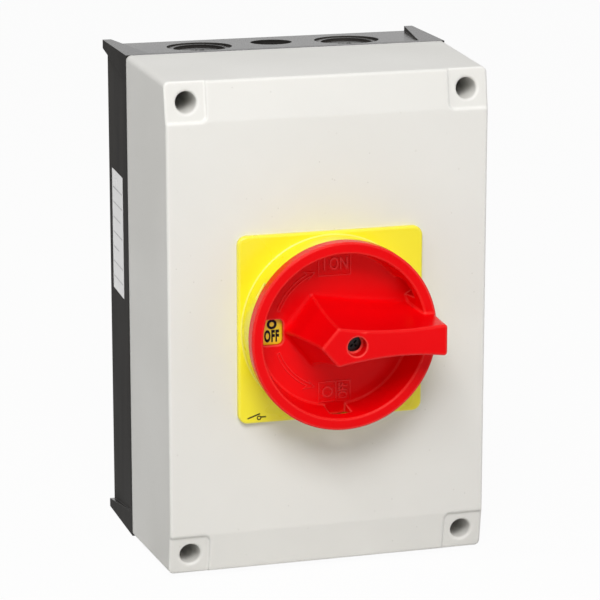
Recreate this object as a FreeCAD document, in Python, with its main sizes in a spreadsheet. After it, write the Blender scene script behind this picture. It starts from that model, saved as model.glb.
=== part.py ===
"""Enclosed rotary isolator switch: a four-pole switch block in a screwed two-part housing.

Frame: +X right, +Z up, the front faces -Y. The origin is the centre of the back face, on the wall.
Depths are measured forward from the wall, so a depth of 50 lies at y = -50. Sizes are in millimetres.
The handle is drawn in its OFF position and turns clockwise, seen from the front, to ON.
"""
import FreeCAD, Part
import os
import Sketcher
from FreeCAD import Placement, Rotation, Vector

SIZES = {
    # Housing: two drafted mouldings that meet at base_depth.
    "housing_width": 160,
    "housing_height": 240,
    "housing_depth": 120,
    "base_depth": 50,
    "wall": 3.5,
    "back_wall": 3.5,
    "front_wall": 5.5,
    "parting_gap": 0.5,
    "cover_draft": 2.2,
    "base_draft": 2.4,
    "rim_band": 4,
    "rim_step": 0.5,
    "edge_radius": 2.5,
    "face_radius": 1,
    "groove_width": 1.5,
    "groove_depth": 2,
    # Corner ears of the rear housing, wide at the rim and narrow at the wall.
    "ear_front": 12,
    "ear_back": 4.2,
    # Sloping end bands and sunk corner pads of the cover face.
    "band_length": 21,
    "band_drop": 3.5,
    "pad_width": 21.5,
    "pad_step": 1,
    "pad_corner": 3,
    # Screw wells of the cover, each in a corner column.
    "well_inset_x": 12.3,
    "well_inset_z": 11.7,
    "well_radius": 5,
    "well_edge": 0.9,
    "well_floor": 4,
    "column_half": 9,
    # Knock-outs in the top and bottom walls.
    "knockout_x": 37.5,
    "knockout_depth": 25,
    "knockout_radius": 16,
    "knockout_ring": 12.7,
    "small_knockout_depth": 21,
    "small_knockout_radius": 10.2,
    "knockout_step": 1.1,
    # Bosses and fixing holes of the rear housing.
    "boss_radius": 5,
    "boss_height": 7,
    "boss_x": 52,
    "boss_z": 62,
    "pilot_length": 7.5,
    "wall_hole_inset_x": 30,
    "wall_hole_inset_z": 20,
    "wall_hole_radius": 2.75,
    # Screws: shank radii, head radii and heights.
    "screw_radius": 2,
    "screw_head_radius": 3.8,
    "screw_head_height": 2.6,
    "screw_clearance": 0.25,
    "screw_head_fit": 0.1,
    "cover_screw_reach": 14,
    "cover_pilot_length": 15,
    # Escutcheon: square plate, dial disc, collar and spigot.
    "plate_side": 90,
    "plate_thickness": 3,
    "plate_corner": 4.5,
    "plate_edge": 0.9,
    "collar_radius": 43.4,
    "collar_inner_radius": 41.9,
    "collar_height": 16.2,
    "dial_radius": 36,
    "dial_height": 3.1,
    "spigot_radius": 17,
    "spigot_fit": 0.1,
    "spigot_reach": 1,
    "plate_screw_x": 24,
    "plate_screw_radius": 1.6,
    "plate_screw_depth": 4.3,
    "face_seal_radius": 38.5,
    "face_seal_width": 2,
    "face_seal_depth": 1.3,
    # Handle: dish, rim, hub and padlock slots.
    "hub_radius": 11.95,
    "bore_fit": 0.05,
    "hub_length": 10.5,
    "hub_bore": 8,
    "dish_gap": 0.4,
    "dish_floor": 2.5,
    "dish_floor_radius": 37.4,
    "dish_mouth_radius": 39.4,
    "dish_wall_radius": 41.5,
    "rim_radius": 44.8,
    "rim_height": 6.4,
    "rim_edge": 0.7,
    "dish_floor_edge": 0.8,
    "slot_width": 7.5,
    "slot_floor": 9.7,
    "dish_slot_width": 10.3,
    "slot_recess_width": 13,
    "slot_recess_depth": 0.8,
    "window_centre": 30.3,
    "window_width": 10.4,
    "window_height": 12.4,
    "window_corner": 2.4,
    # Grip across the dish: nose, shoulders, waist and end, at its foot and at its front face.
    "grip_height": 41.5,
    "grip_nose": 17,
    "grip_nose_foot": 24.7,
    "grip_shoulder_x": 8.8,
    "grip_shoulder_foot_x": 11,
    "grip_shoulder": 9.2,
    "grip_shoulder_foot": 16.5,
    "grip_waist_x": 24,
    "grip_waist": 6.2,
    "grip_waist_foot": 11.2,
    "grip_end_x": 43.6,
    "grip_end": 7.6,
    "grip_end_foot": 9.6,
    "grip_hollow": 0.8,
    "grip_edge": 1,
    "grip_end_edge": 1.6,
    "grip_foot_radius": 2.5,
    "grip_well_radius": 4.65,
    "grip_well_depth": 6.5,
    # Retaining ring, hub seal and shaft coupler.
    "ring_thickness": 1.2,
    "ring_radius": 14.5,
    "ring_groove_radius": 11,
    "ring_gap": 0.3,
    "seal_radius": 13.8,
    "seal_width": 1.9,
    "seal_gap": 0.15,
    "coupler_radius": 10.5,
    "coupler_length": 12,
    "coupler_floor": 5,
    "coupler_front": 1,
    "socket_side": 8.5,
    # Mounting plate and earth bar.
    "carrier_width": 118,
    "carrier_height": 142,
    "carrier_thickness": 1.5,
    "carrier_corner": 4,
    "earth_inset": 31,
    "earth_half_length": 30,
    "earth_height": 10,
    "earth_depth": 8,
    "earth_fixing_x": 25,
    "earth_pitch": 10,
    "earth_wire_radius": 2.4,
    # Switch block.
    "block_width": 90,
    "block_height": 84,
    "block_base": 26,
    "block_top": 36,
    "shoulder_drop": 12,
    "shoulder_z": 27.5,
    "flange_width": 108,
    "flange_height": 62,
    "flange_thickness": 4,
    "flange_screw_x": 49.5,
    "flange_screw_z": 25,
    "joint_screw_x": 41.3,
    "joint_screw_z": 21.5,
    "joint_screw_radius": 1.7,
    "joint_screw_reach": 8,
    "joint_head_radius": 3,
    "joint_head_height": 2.2,
    "joint_seat": 3,
    # Poles, contacts and terminals.
    "pole_pitch": 20,
    "bar_thickness": 2,
    "tongue_width": 6,
    "tongue_start": 9.5,
    "tab_start": 24,
    "tab_end": 41,
    "tab_width": 10.8,
    "clamp_z": 33.5,
    "clamp_length": 7,
    "clamp_width": 14.8,
    "clamp_wall": 1.5,
    "clamp_behind": 12,
    "clamp_front": 8,
    "clamp_fit": 0.1,
    "terminal_screw_radius": 2.5,
    "terminal_head_radius": 3.9,
    "terminal_head_height": 3.5,
    "terminal_head_gap": 0.5,
    # Crank, carriage and moving contacts.
    "crank_throw": 7,
    "crank_pin_radius": 2,
    "yoke_play": 0.35,
    "running_gap": 0.3,
    "disc_radius": 14,
    "disc_thickness": 6.4,
    "disc_web": 4,
    "pin_seat": 3.5,
    "pin_reach": 5.2,
    "disc_hub_radius": 7.95,
    "disc_hub_length": 17,
    "notch_depth": 1.6,
    "notch_half_width": 2.4,
    "shaft_side": 8,
    "shaft_end_gap": 1,
    "carriage_depth": 13.7,
    "carriage_height": 25,
    "carriage_end": 4.65,
    "channel_end_gap": 0.9,
    "bridge_width": 5.6,
    "bridge_half_length": 16,
    "bridge_rise": 1.3,
    "bridge_pocket": 6,
    "spring_thickness": 0.4,
    "spring_half_length": 6.5,
    "spring_width": 4,
    "spring_foot": 2,
    # Index springs that drop into the notches of the crank disc.
    "index_width": 4,
    "index_thickness": 0.6,
    "index_half_length": 16,
    "index_nose": 12.9,
    "index_shoulder": 15.2,
    "index_end": 17,
    # How far a cutter runs past the face it opens, and the room left beyond the tip of a screw.
    "cut_past": 1,
    "tip_gap": 0.5,
}

doc = FreeCAD.newDocument("rotary_isolator_switch")
size = doc.addObject("Spreadsheet::Sheet", "size")
for row, (alias, value) in enumerate(SIZES.items(), start=1):
    size.set(f"A{row}", alias)
    size.set(f"B{row}", str(value))
    size.setAlias(f"B{row}", alias)
doc.recompute()

# Depths that several pieces share, as expressions in the sheet's sizes.
PARTING = "(size.base_depth + size.parting_gap)"
FACE = "size.housing_depth"
COVER_INSIDE = f"({FACE} - size.front_wall)"
PLATE_FRONT = f"({FACE} + size.plate_thickness)"
COLLAR_FRONT = f"({PLATE_FRONT} + size.collar_height)"
DISH_BACK = f"({PLATE_FRONT} + size.dial_height + size.dish_gap)"
DISH_FLOOR = f"({DISH_BACK} + size.dish_floor)"
RIM_BACK = f"({COLLAR_FRONT} + size.dish_gap)"
RIM_FRONT = f"({RIM_BACK} + size.rim_height)"
GRIP_FRONT = f"({PLATE_FRONT} + size.grip_height)"
SPIGOT_BACK = f"({COVER_INSIDE} - size.spigot_reach)"
HUB_BACK = f"({FACE} - size.hub_length)"
BOSS_TOP = "(size.back_wall + size.boss_height)"
CARRIER_FRONT = f"({BOSS_TOP} + size.carrier_thickness)"
BAR_FRONT = f"({CARRIER_FRONT} + size.block_base)"
BAR_BACK = f"({BAR_FRONT} - size.bar_thickness)"
BLOCK_FRONT = f"({BAR_FRONT} + size.block_top)"
CARRIAGE_BACK = f"({BAR_FRONT} + size.running_gap)"
CARRIAGE_FRONT = f"({CARRIAGE_BACK} + size.carriage_depth)"
CHANNEL_FRONT = f"({CARRIAGE_FRONT} + size.running_gap)"
DISC_BACK = f"({CHANNEL_FRONT} + size.running_gap)"
DISC_FRONT = f"({DISC_BACK} + size.disc_thickness)"
SHAFT_BACK = f"({DISC_BACK} + size.disc_web + size.running_gap)"
PLUG_FRONT = f"({PLATE_FRONT} + size.coupler_front)"
SOCKET_END = f"({PLUG_FRONT} - size.coupler_floor)"
SCREW_SEAT = f"({GRIP_FRONT} - size.grip_well_depth - size.screw_head_height)"
RING_FRONT = f"({SPIGOT_BACK} - size.ring_gap)"
RING_BACK = f"({RING_FRONT} - size.ring_thickness)"

# Places along X and Z that several pieces share.
HALF_WIDTH = "size.housing_width / 2"
HALF_HEIGHT = "size.housing_height / 2"
WELL_X = f"({HALF_WIDTH} - size.well_inset_x)"
WELL_Z = f"({HALF_HEIGHT} - size.well_inset_z)"
BAND_START = f"({HALF_HEIGHT} - size.band_length)"
PAD_START = f"({HALF_WIDTH} - size.pad_width)"
EARTH_Z = f"(size.earth_inset - {HALF_HEIGHT})"
THROW_X = "(size.crank_throw * sin(45))"
POLES = (-1.5, -0.5, 0.5, 1.5)
SIDES = (-1, 1)
CORNERS = [(side_x, side_z) for side_x in SIDES for side_z in SIDES]

# Lengths shorter than this count as nothing when edges are compared.
CLOSE = 0.01


def number(expression):
    """The value of an expression in the sheet's sizes."""
    return float(size.evalExpression(str(expression)))


def between(centre, half):
    """The two limits of a stretch around a centre."""
    return f"{centre} - ({half})", f"{centre} + ({half})"


def block(name, across, depth, height):
    """A box from three pairs of limits: along X, in depth from the wall, and along Z."""
    solid = doc.addObject("Part::Box", name)
    solid.setExpression("Length", f"({across[1]}) - ({across[0]})")
    solid.setExpression("Width", f"({depth[1]}) - ({depth[0]})")
    solid.setExpression("Height", f"({height[1]}) - ({height[0]})")
    solid.setExpression("Placement.Base.x", str(across[0]))
    solid.setExpression("Placement.Base.y", f"-({depth[1]})")
    solid.setExpression("Placement.Base.z", str(height[0]))
    return solid


def rod(name, radius, depth, across="0", height="0"):
    """A round bar along the depth, between two depths, at a place in X and Z."""
    solid = doc.addObject("Part::Cylinder", name)
    solid.setExpression("Radius", str(radius))
    solid.setExpression("Height", f"({depth[1]}) - ({depth[0]})")
    solid.Placement = Placement(Vector(), Rotation(Vector(1, 0, 0), 90))
    solid.setExpression("Placement.Base.x", str(across))
    solid.setExpression("Placement.Base.y", f"-({depth[0]})")
    solid.setExpression("Placement.Base.z", str(height))
    return solid


def fuse(name, solids):
    """Several solids joined to one."""
    whole = doc.addObject("Part::MultiFuse", name)
    whole.Shapes = solids
    whole.Refine = True
    return whole


def cut(name, solid, tools):
    """A solid with other solids taken out of it."""
    rest = doc.addObject("Part::Cut", name)
    rest.Base = solid
    rest.Tool = tools[0] if len(tools) == 1 else fuse(f"{name}_cutters", tools)
    rest.Refine = True
    return rest


def loose_set(name, solids):
    """Like pieces that share one node and stay separate solids."""
    pieces = doc.addObject("Part::Compound", name)
    pieces.Links = solids
    return pieces


def new_body(name):
    return doc.addObject("PartDesign::Body", name)


def sketch_on(body, name, role, offset="0"):
    """An empty sketch on one of the body's origin planes, moved along the plane's normal."""
    sketch = body.newObject("Sketcher::SketchObject", name)
    plane = next(item for item in body.Origin.OriginFeatures if item.Role == role)
    sketch.AttachmentSupport = [(plane, "")]
    sketch.MapMode = "FlatFace"
    sketch.setExpression("AttachmentOffset.Base.z", str(offset))
    return sketch


def tilt_sketch(sketch, up, turn, angle):
    """Moves a sketch up along its plane and tilts it about its own X axis."""
    sketch.AttachmentOffset = Placement(sketch.AttachmentOffset.Base, Rotation(Vector(turn, 0, 0), 1))
    sketch.setExpression("AttachmentOffset.Base.y", up)
    sketch.setExpression("AttachmentOffset.Rotation.Angle", angle)


def draw_outline(sketch, corners):
    """A closed outline of straight lines, each corner held at a pair of expressions."""
    first = sketch.GeometryCount
    points = [Vector(number(across), number(up), 0) for across, up in corners]
    following = points[1:] + points[:1]
    for start, end in zip(points, following):
        sketch.addGeometry(Part.LineSegment(start, end))
    for index, (across, up) in enumerate(corners):
        line = first + index
        after = first + (index + 1) % len(corners)
        sketch.addConstraint(Sketcher.Constraint("Coincident", line, 2, after, 1))
        at_x = sketch.addConstraint(Sketcher.Constraint("DistanceX", -1, 1, line, 1, points[index].x))
        at_y = sketch.addConstraint(Sketcher.Constraint("DistanceY", -1, 1, line, 1, points[index].y))
        sketch.setExpression(f"Constraints[{at_x}]", str(across))
        sketch.setExpression(f"Constraints[{at_y}]", str(up))


def draw_circle(sketch, radius, across="0", up="0"):
    """A circle whose centre and radius are held by expressions."""
    centre = Vector(number(across), number(up), 0)
    circle = sketch.addGeometry(Part.Circle(centre, Vector(0, 0, 1), number(radius)))
    at_x = sketch.addConstraint(Sketcher.Constraint("DistanceX", -1, 1, circle, 3, centre.x))
    at_y = sketch.addConstraint(Sketcher.Constraint("DistanceY", -1, 1, circle, 3, centre.y))
    ring = sketch.addConstraint(Sketcher.Constraint("Radius", circle, number(radius)))
    sketch.setExpression(f"Constraints[{at_x}]", str(across))
    sketch.setExpression(f"Constraints[{at_y}]", str(up))
    sketch.setExpression(f"Constraints[{ring}]", str(radius))


def rectangle(half_across, half_up, across="0", up="0"):
    """The four corners of a rectangle around a centre."""
    left, right = between(across, half_across)
    low, high = between(up, half_up)
    return [(left, low), (right, low), (right, high), (left, high)]


def feature(body, kind, name, sketch, length, reverse=False):
    """A Pad or Pocket of a given length. Pads on the XZ plane grow forward, pockets cut backward."""
    made = body.newObject(f"PartDesign::{kind}", name)
    made.Profile = sketch
    made.setExpression("Length", str(length))
    made.Reversed = reverse
    doc.recompute()
    return made


def loft(body, kind, name, sections):
    """An AdditiveLoft or SubtractiveLoft through two sketches."""
    made = body.newObject(f"PartDesign::{kind}", name)
    made.Profile = sections[0]
    made.Sections = sections[1:]
    made.Ruled = True
    doc.recompute()
    return made


def turned(body, kind, name, corners):
    """A Revolution or Groove about the Y axis. Corners are pairs of depth and radius."""
    sketch = sketch_on(body, f"{name}_profile", "YZ_Plane")
    draw_outline(sketch, [(f"-({depth})", radius) for depth, radius in corners])
    made = body.newObject(f"PartDesign::{kind}", name)
    made.Profile = sketch
    made.ReferenceAxis = (next(item for item in body.Origin.OriginFeatures if item.Role == "Y_Axis"), [""])
    made.Angle = 360
    doc.recompute()
    return made


def around_axis(body, name, original, count):
    """Copies of a feature, evenly spaced around the Y axis."""
    ring = body.newObject("PartDesign::PolarPattern", name)
    ring.Originals = [original]
    ring.Axis = (next(item for item in body.Origin.OriginFeatures if item.Role == "Y_Axis"), [""])
    ring.Angle = 360
    ring.Occurrences = count
    body.Tip = ring
    doc.recompute()
    return ring


def round_edges(body, name, radius, chosen):
    """A Fillet on the edges of the body's tip that the test picks."""
    base = body.Tip
    picked = [f"Edge{index}" for index, edge in enumerate(base.Shape.Edges, start=1) if chosen(edge)]
    rounding = body.newObject("PartDesign::Fillet", name)
    rounding.Base = (base, picked)
    rounding.setExpression("Radius", radius)
    doc.recompute()
    return rounding


def middle_of(edge):
    return edge.valueAt((edge.FirstParameter + edge.LastParameter) / 2)


def lies_at_depth(edge, depth):
    """Whether the whole edge lies in the plane at a depth."""
    box = edge.BoundBox
    return abs(box.YMin + depth) < CLOSE and abs(box.YMax + depth) < CLOSE


def runs_in_depth(edge):
    """Whether the edge runs mainly along the depth."""
    box = edge.BoundBox
    return box.YLength > 3 * (box.XLength + box.ZLength)


def runs_in_depth_only(edge):
    """Whether the edge is straight along the depth."""
    box = edge.BoundBox
    return box.XLength < CLOSE and box.ZLength < CLOSE


def screw(name, across, height, shank_radius, shank, head_radius, head):
    """A round-headed screw along the depth, with a cross recess in its head. Head after shank."""
    shank_rod = rod(f"{name}_shank", shank_radius, shank, across, height)
    head_rod = rod(f"{name}_head", head_radius, head, across, height)
    turned_blank = fuse(f"{name}_blank", [shank_rod, head_rod])
    forward = number(head[1]) > number(shank[0])
    outer = head[1] if forward else head[0]
    inner = f"({head[1]} + {head[0]}) / 2"
    recess = (inner, f"{outer} + size.cut_past") if forward else (f"{outer} - size.cut_past", inner)
    arm = f"({head_radius}) * 0.55"
    half = f"({head_radius}) * 0.12"
    flat = block(f"{name}_arm", between(across, arm), recess, between(height, half))
    upright = block(f"{name}_cross_arm", between(across, half), recess, between(height, arm))
    return cut(name, turned_blank, [flat, upright])


# Rear housing: an open moulding with a rim band, corner ears, corner columns and knock-outs.
def notched_section(half_across, half_up):
    """The inner outline of a housing half: a rectangle whose corners are left to the columns."""
    inner_x = f"({WELL_X} - size.column_half)"
    inner_z = f"({WELL_Z} - size.column_half)"
    quarter = [(half_across, inner_z), (inner_x, inner_z), (inner_x, half_up)]
    right_top = quarter
    left_top = [(f"-{across}", up) for across, up in reversed(quarter)]
    left_bottom = [(f"-{across}", f"-{up}") for across, up in quarter]
    right_bottom = [(across, f"-{up}") for across, up in reversed(quarter)]
    return right_top + left_top + left_bottom + right_bottom


def build_rear_housing():
    body = new_body("rear_housing")
    sections = []
    for name, depth, inset in (
        ("back", "0", "size.base_draft"),
        ("front", "size.base_depth", "size.rim_step"),
    ):
        sketch = sketch_on(body, f"shell_{name}", "XZ_Plane", depth)
        draw_outline(sketch, rectangle(f"({HALF_WIDTH} - {inset})", f"({HALF_HEIGHT} - {inset})"))
        sections.append(sketch)
    loft(body, "AdditiveLoft", "shell", sections)
    band = sketch_on(body, "band_outline", "XZ_Plane", "size.base_depth - size.rim_band")
    draw_outline(band, rectangle(HALF_WIDTH, HALF_HEIGHT))
    feature(body, "Pad", "band", band, "size.rim_band")
    for number_of_ear, (side_x, side_z) in enumerate(CORNERS):
        sections = []
        for name, depth, leg in (
            ("back", "0", "size.ear_back"),
            ("front", "size.base_depth - size.rim_band", "size.ear_front"),
        ):
            sketch = sketch_on(body, f"ear_{name}_{number_of_ear}", "XZ_Plane", depth)
            across = f"{side_x} * ({HALF_WIDTH} - {leg} / 2)"
            up = f"{side_z} * ({HALF_HEIGHT} - {leg} / 2)"
            draw_outline(sketch, rectangle(f"{leg} / 2", f"{leg} / 2", across, up))
            sections.append(sketch)
        loft(body, "AdditiveLoft", f"ear_{number_of_ear}", sections)
    sections = []
    for name, depth, inset in (
        ("back", "size.back_wall", "size.base_draft"),
        ("front", "size.base_depth", "size.rim_step"),
    ):
        sketch = sketch_on(body, f"hollow_{name}", "XZ_Plane", depth)
        half_across = f"({HALF_WIDTH} - {inset} - size.wall)"
        half_up = f"({HALF_HEIGHT} - {inset} - size.wall)"
        draw_outline(sketch, notched_section(half_across, half_up))
        sections.append(sketch)
    loft(body, "SubtractiveLoft", "hollow", sections)
    groove = sketch_on(body, "groove_outline", "XZ_Plane", "size.base_depth")
    for offset in ("size.groove_width / 2", "-size.groove_width / 2"):
        inset = f"(size.wall + size.rim_step) / 2 - {offset}"
        draw_outline(groove, rectangle(f"({HALF_WIDTH} - ({inset}))", f"({HALF_HEIGHT} - ({inset}))"))
    feature(body, "Pocket", "groove", groove, "size.groove_depth")
    boss_places = [(f"{side_x} * size.boss_x", f"{side_z} * size.boss_z") for side_x, side_z in CORNERS]
    boss_places += [(f"{side} * size.earth_fixing_x", EARTH_Z) for side in SIDES]
    bosses = sketch_on(body, "boss_outline", "XZ_Plane", "size.back_wall")
    pilots = sketch_on(body, "pilot_outline", "XZ_Plane", BOSS_TOP)
    for across, up in boss_places:
        draw_circle(bosses, "size.boss_radius", across, up)
        draw_circle(pilots, "size.screw_radius", across, up)
    feature(body, "Pad", "bosses", bosses, "size.boss_height")
    feature(body, "Pocket", "pilots", pilots, "size.pilot_length")
    wall_holes = sketch_on(body, "wall_hole_outline", "XZ_Plane", "size.back_wall")
    column_holes = sketch_on(body, "column_hole_outline", "XZ_Plane", "size.base_depth")
    for side_x, side_z in CORNERS:
        across = f"{side_x} * ({HALF_WIDTH} - size.wall_hole_inset_x)"
        up = f"{side_z} * ({HALF_HEIGHT} - size.wall_hole_inset_z)"
        draw_circle(wall_holes, "size.wall_hole_radius", across, up)
        draw_circle(column_holes, "size.screw_radius", f"{side_x} * {WELL_X}", f"{side_z} * {WELL_Z}")
    feature(body, "Pocket", "wall_holes", wall_holes, "size.back_wall")
    feature(body, "Pocket", "column_holes", column_holes, "size.cover_pilot_length")
    for side in SIDES:
        end = "top" if side > 0 else "bottom"
        rings = (
            ("outer", "size.knockout_radius", 1),
            ("inner", "size.knockout_ring", 2),
        )
        for name, radius, steps in rings:
            sketch = sketch_on(body, f"knockout_{name}_{end}", "XY_Plane", f"{side} * {HALF_HEIGHT}")
            for side_x in SIDES:
                draw_circle(sketch, radius, f"{side_x} * size.knockout_x", "-size.knockout_depth")
            if steps == 2:
                draw_circle(sketch, "size.small_knockout_radius", "0", "-size.small_knockout_depth")
            sunk = f"(size.rim_step + size.base_draft) / 2 + {steps} * size.knockout_step"
            feature(body, "Pocket", f"knockouts_{name}_{end}", sketch, sunk, side < 0)
    return body


def on_cover_rim(edge):
    """Whether the edge lies on the outer rim of the cover's face and end bands."""
    lowest = number(f"{FACE} - size.band_drop - 1.5")
    side_x = number(f"{HALF_WIDTH} - size.cover_draft - size.edge_radius")
    side_z = number(f"{HALF_HEIGHT} - size.cover_draft - size.edge_radius")
    on_rim = all(abs(end.Point.x) > side_x or abs(end.Point.z) > side_z for end in edge.Vertexes)
    middle = middle_of(edge)
    at_rim = abs(middle.x) > side_x or abs(middle.z) > side_z
    return on_rim and at_rim and -middle.y > lowest and not runs_in_depth(edge)


def is_well_mouth(edge):
    """Whether the edge is the mouth of a screw well in the cover's face."""
    middle = edge.BoundBox.Center
    off_centre = max(abs(abs(middle.x) - number(WELL_X)), abs(abs(middle.z) - number(WELL_Z)))
    wide = edge.BoundBox.XLength > number("size.well_radius")
    return off_centre < number("size.well_edge") and wide and -middle.y > number(COVER_INSIDE)


def build_front_cover():
    body = new_body("front_cover")
    sections = []
    for name, depth, inset in (("back", PARTING, "0"), ("front", FACE, "size.cover_draft")):
        sketch = sketch_on(body, f"shell_{name}", "XZ_Plane", depth)
        draw_outline(sketch, rectangle(f"({HALF_WIDTH} - {inset})", f"({HALF_HEIGHT} - {inset})"))
        sections.append(sketch)
    loft(body, "AdditiveLoft", "shell", sections)
    round_edges(body, "side_rounding", "size.edge_radius", runs_in_depth)
    for side in SIDES:
        end = "top" if side > 0 else "bottom"
        wedge = sketch_on(body, f"band_{end}_outline", "YZ_Plane")
        edge_z = f"{side} * {HALF_HEIGHT}"
        start_z = f"{side} * {BAND_START}"
        draw_outline(
            wedge,
            [
                (f"-{FACE}", start_z),
                (f"-{FACE} + size.band_drop", edge_z),
                (f"-{FACE} - size.cut_past", edge_z),
                (f"-{FACE} - size.cut_past", start_z),
            ],
        )
        band = feature(body, "Pocket", f"band_{end}", wedge, "size.housing_width * 2")
        band.Midplane = True
        doc.recompute()
    round_edges(body, "face_rounding", "size.face_radius", on_cover_rim)
    for side in SIDES:
        end = "top" if side > 0 else "bottom"
        corner = f"({PAD_START} + size.pad_corner)"
        for name in ("pads", "pad_corners"):
            sketch = sketch_on(body, f"{name}_{end}_outline", "XZ_Plane", f"{FACE} - size.pad_step")
            slope = "atan(size.band_drop / size.band_length)"
            tilt_sketch(sketch, f"{side} * {BAND_START}", -side, slope)
            for side_x in SIDES:
                if name == "pad_corners":
                    across = f"{side_x} * {corner}"
                    draw_circle(sketch, "size.pad_corner", across, f"{side} * size.pad_corner")
                    continue
                outer_y = "(size.band_length + size.cut_past)"
                outline = [
                    (corner, "0"),
                    (HALF_WIDTH, "0"),
                    (HALF_WIDTH, outer_y),
                    (PAD_START, outer_y),
                    (PAD_START, "size.pad_corner"),
                    (corner, "size.pad_corner"),
                ]
                outline = [(f"{side_x} * {across}", f"{side} * {up}") for across, up in outline]
                draw_outline(sketch, outline)
            feature(body, "Pocket", f"{name}_{end}", sketch, "size.pad_step + 2 * size.cut_past", True)
    sections = []
    for name, depth, inset in (("back", PARTING, "0"), ("front", COVER_INSIDE, "size.cover_draft")):
        sketch = sketch_on(body, f"hollow_{name}", "XZ_Plane", depth)
        half_across = f"({HALF_WIDTH} - {inset} - size.wall)"
        half_up = f"({HALF_HEIGHT} - {inset} - size.wall)"
        draw_outline(sketch, notched_section(half_across, half_up))
        sections.append(sketch)
    loft(body, "SubtractiveLoft", "hollow", sections)
    wells = sketch_on(body, "well_outline", "XZ_Plane", f"{FACE} + size.cut_past")
    shanks = sketch_on(body, "shank_outline", "XZ_Plane", f"{PARTING} + size.well_floor")
    for side_x, side_z in CORNERS:
        place = (f"{side_x} * {WELL_X}", f"{side_z} * {WELL_Z}")
        draw_circle(wells, "size.well_radius", *place)
        draw_circle(shanks, "size.screw_radius + size.screw_clearance", *place)
    feature(body, "Pocket", "wells", wells, f"{FACE} + size.cut_past - {PARTING} - size.well_floor")
    feature(body, "Pocket", "shank_holes", shanks, "size.well_floor + size.cut_past")
    round_edges(body, "well_edges", "size.well_edge", is_well_mouth)
    opening = sketch_on(body, "opening_outline", "XZ_Plane", FACE)
    draw_circle(opening, "size.spigot_radius + size.spigot_fit")
    for side_x, side_z in CORNERS:
        draw_circle(
            opening,
            "size.plate_screw_radius + size.screw_clearance",
            f"{side_x} * size.plate_screw_x",
            f"{side_z} * size.plate_screw_x",
        )
    feature(body, "Pocket", "opening", opening, "size.front_wall")
    return body


def build_cover_gasket():
    """Foam cord in the groove of the rear housing's rim, pressed by the cover."""
    middle = "(size.wall + size.rim_step) / 2"
    depth = ("size.base_depth - size.groove_depth", PARTING)
    rings = []
    for name, offset in (("outer", "size.groove_width / 2"), ("inner", "-size.groove_width / 2")):
        inset = f"({middle} - {offset})"
        across = between("0", f"({HALF_WIDTH} - {inset})")
        height = between("0", f"({HALF_HEIGHT} - {inset})")
        rings.append(block(f"cover_gasket_{name}", across, depth, height))
    return cut("cover_gasket", rings[0], rings[1:])


def build_escutcheon_plate():
    body = new_body("escutcheon_plate")
    square = sketch_on(body, "plate_outline", "XZ_Plane", FACE)
    draw_outline(square, rectangle("size.plate_side / 2", "size.plate_side / 2"))
    feature(body, "Pad", "plate", square, "size.plate_thickness")
    round_edges(body, "plate_corners", "size.plate_corner", runs_in_depth_only)
    round_edges(
        body,
        "plate_edges",
        "size.plate_edge",
        lambda edge: lies_at_depth(edge, number(PLATE_FRONT)),
    )
    collar = sketch_on(body, "collar_outline", "XZ_Plane", PLATE_FRONT)
    draw_circle(collar, "size.collar_radius")
    draw_circle(collar, "size.collar_inner_radius")
    feature(body, "Pad", "collar", collar, "size.collar_height")
    dial = sketch_on(body, "dial_outline", "XZ_Plane", PLATE_FRONT)
    draw_circle(dial, "size.dial_radius")
    feature(body, "Pad", "dial", dial, "size.dial_height")
    spigot = sketch_on(body, "spigot_outline", "XZ_Plane", SPIGOT_BACK)
    draw_circle(spigot, "size.spigot_radius")
    feature(body, "Pad", "spigot", spigot, f"{FACE} - {SPIGOT_BACK}")
    bore = sketch_on(body, "bore_outline", "XZ_Plane", f"{PLATE_FRONT} + size.dial_height")
    draw_circle(bore, "size.hub_radius + size.bore_fit")
    feature(body, "Pocket", "bore", bore, f"{PLATE_FRONT} + size.dial_height - {SPIGOT_BACK}")
    seal = [
        (f"{FACE} - size.seal_width / 2", "size.hub_radius"),
        (f"{FACE} - size.seal_width / 2", "size.seal_radius"),
        (f"{FACE} + size.seal_width / 2", "size.seal_radius"),
        (f"{FACE} + size.seal_width / 2", "size.hub_radius"),
    ]
    turned(body, "Groove", "seal_groove", seal)
    face_seal = sketch_on(body, "face_seal_outline", "XZ_Plane", FACE)
    draw_circle(face_seal, "size.face_seal_radius")
    draw_circle(face_seal, "size.face_seal_radius + size.face_seal_width")
    feature(body, "Pocket", "face_seal_groove", face_seal, "size.face_seal_depth", True)
    pilots = sketch_on(body, "pilot_outline", "XZ_Plane", FACE)
    for side_x, side_z in CORNERS:
        place = (f"{side_x} * size.plate_screw_x", f"{side_z} * size.plate_screw_x")
        draw_circle(pilots, "size.plate_screw_radius", *place)
    feature(body, "Pocket", "pilots", pilots, "size.plate_screw_depth + size.tip_gap", True)
    recess = sketch_on(body, "slot_recess_outline", "YZ_Plane", "-size.slot_recess_width / 2")
    draw_outline(
        recess,
        [
            (f"-{PLATE_FRONT}", "-size.collar_radius - size.cut_past"),
            (f"-{PLATE_FRONT}", "-size.collar_radius"),
            (f"-{COLLAR_FRONT} - size.cut_past", "-size.collar_radius + size.slot_recess_depth"),
            (f"-{COLLAR_FRONT} - size.cut_past", "-size.collar_radius - size.cut_past"),
        ],
    )
    ramp = feature(body, "Pocket", "slot_recess", recess, "size.slot_recess_width", True)
    around_axis(body, "slot_recesses", ramp, 3)
    gap = sketch_on(body, "slot_outline", "XZ_Plane", COLLAR_FRONT)
    middle = "-(size.collar_radius + size.collar_inner_radius) / 2"
    half = "(size.collar_radius - size.collar_inner_radius)"
    draw_outline(gap, rectangle("size.slot_width / 2", half, "0", middle))
    slot = feature(body, "Pocket", "slot", gap, "size.collar_height - size.slot_floor")
    around_axis(body, "slots", slot, 3)
    return body


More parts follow.
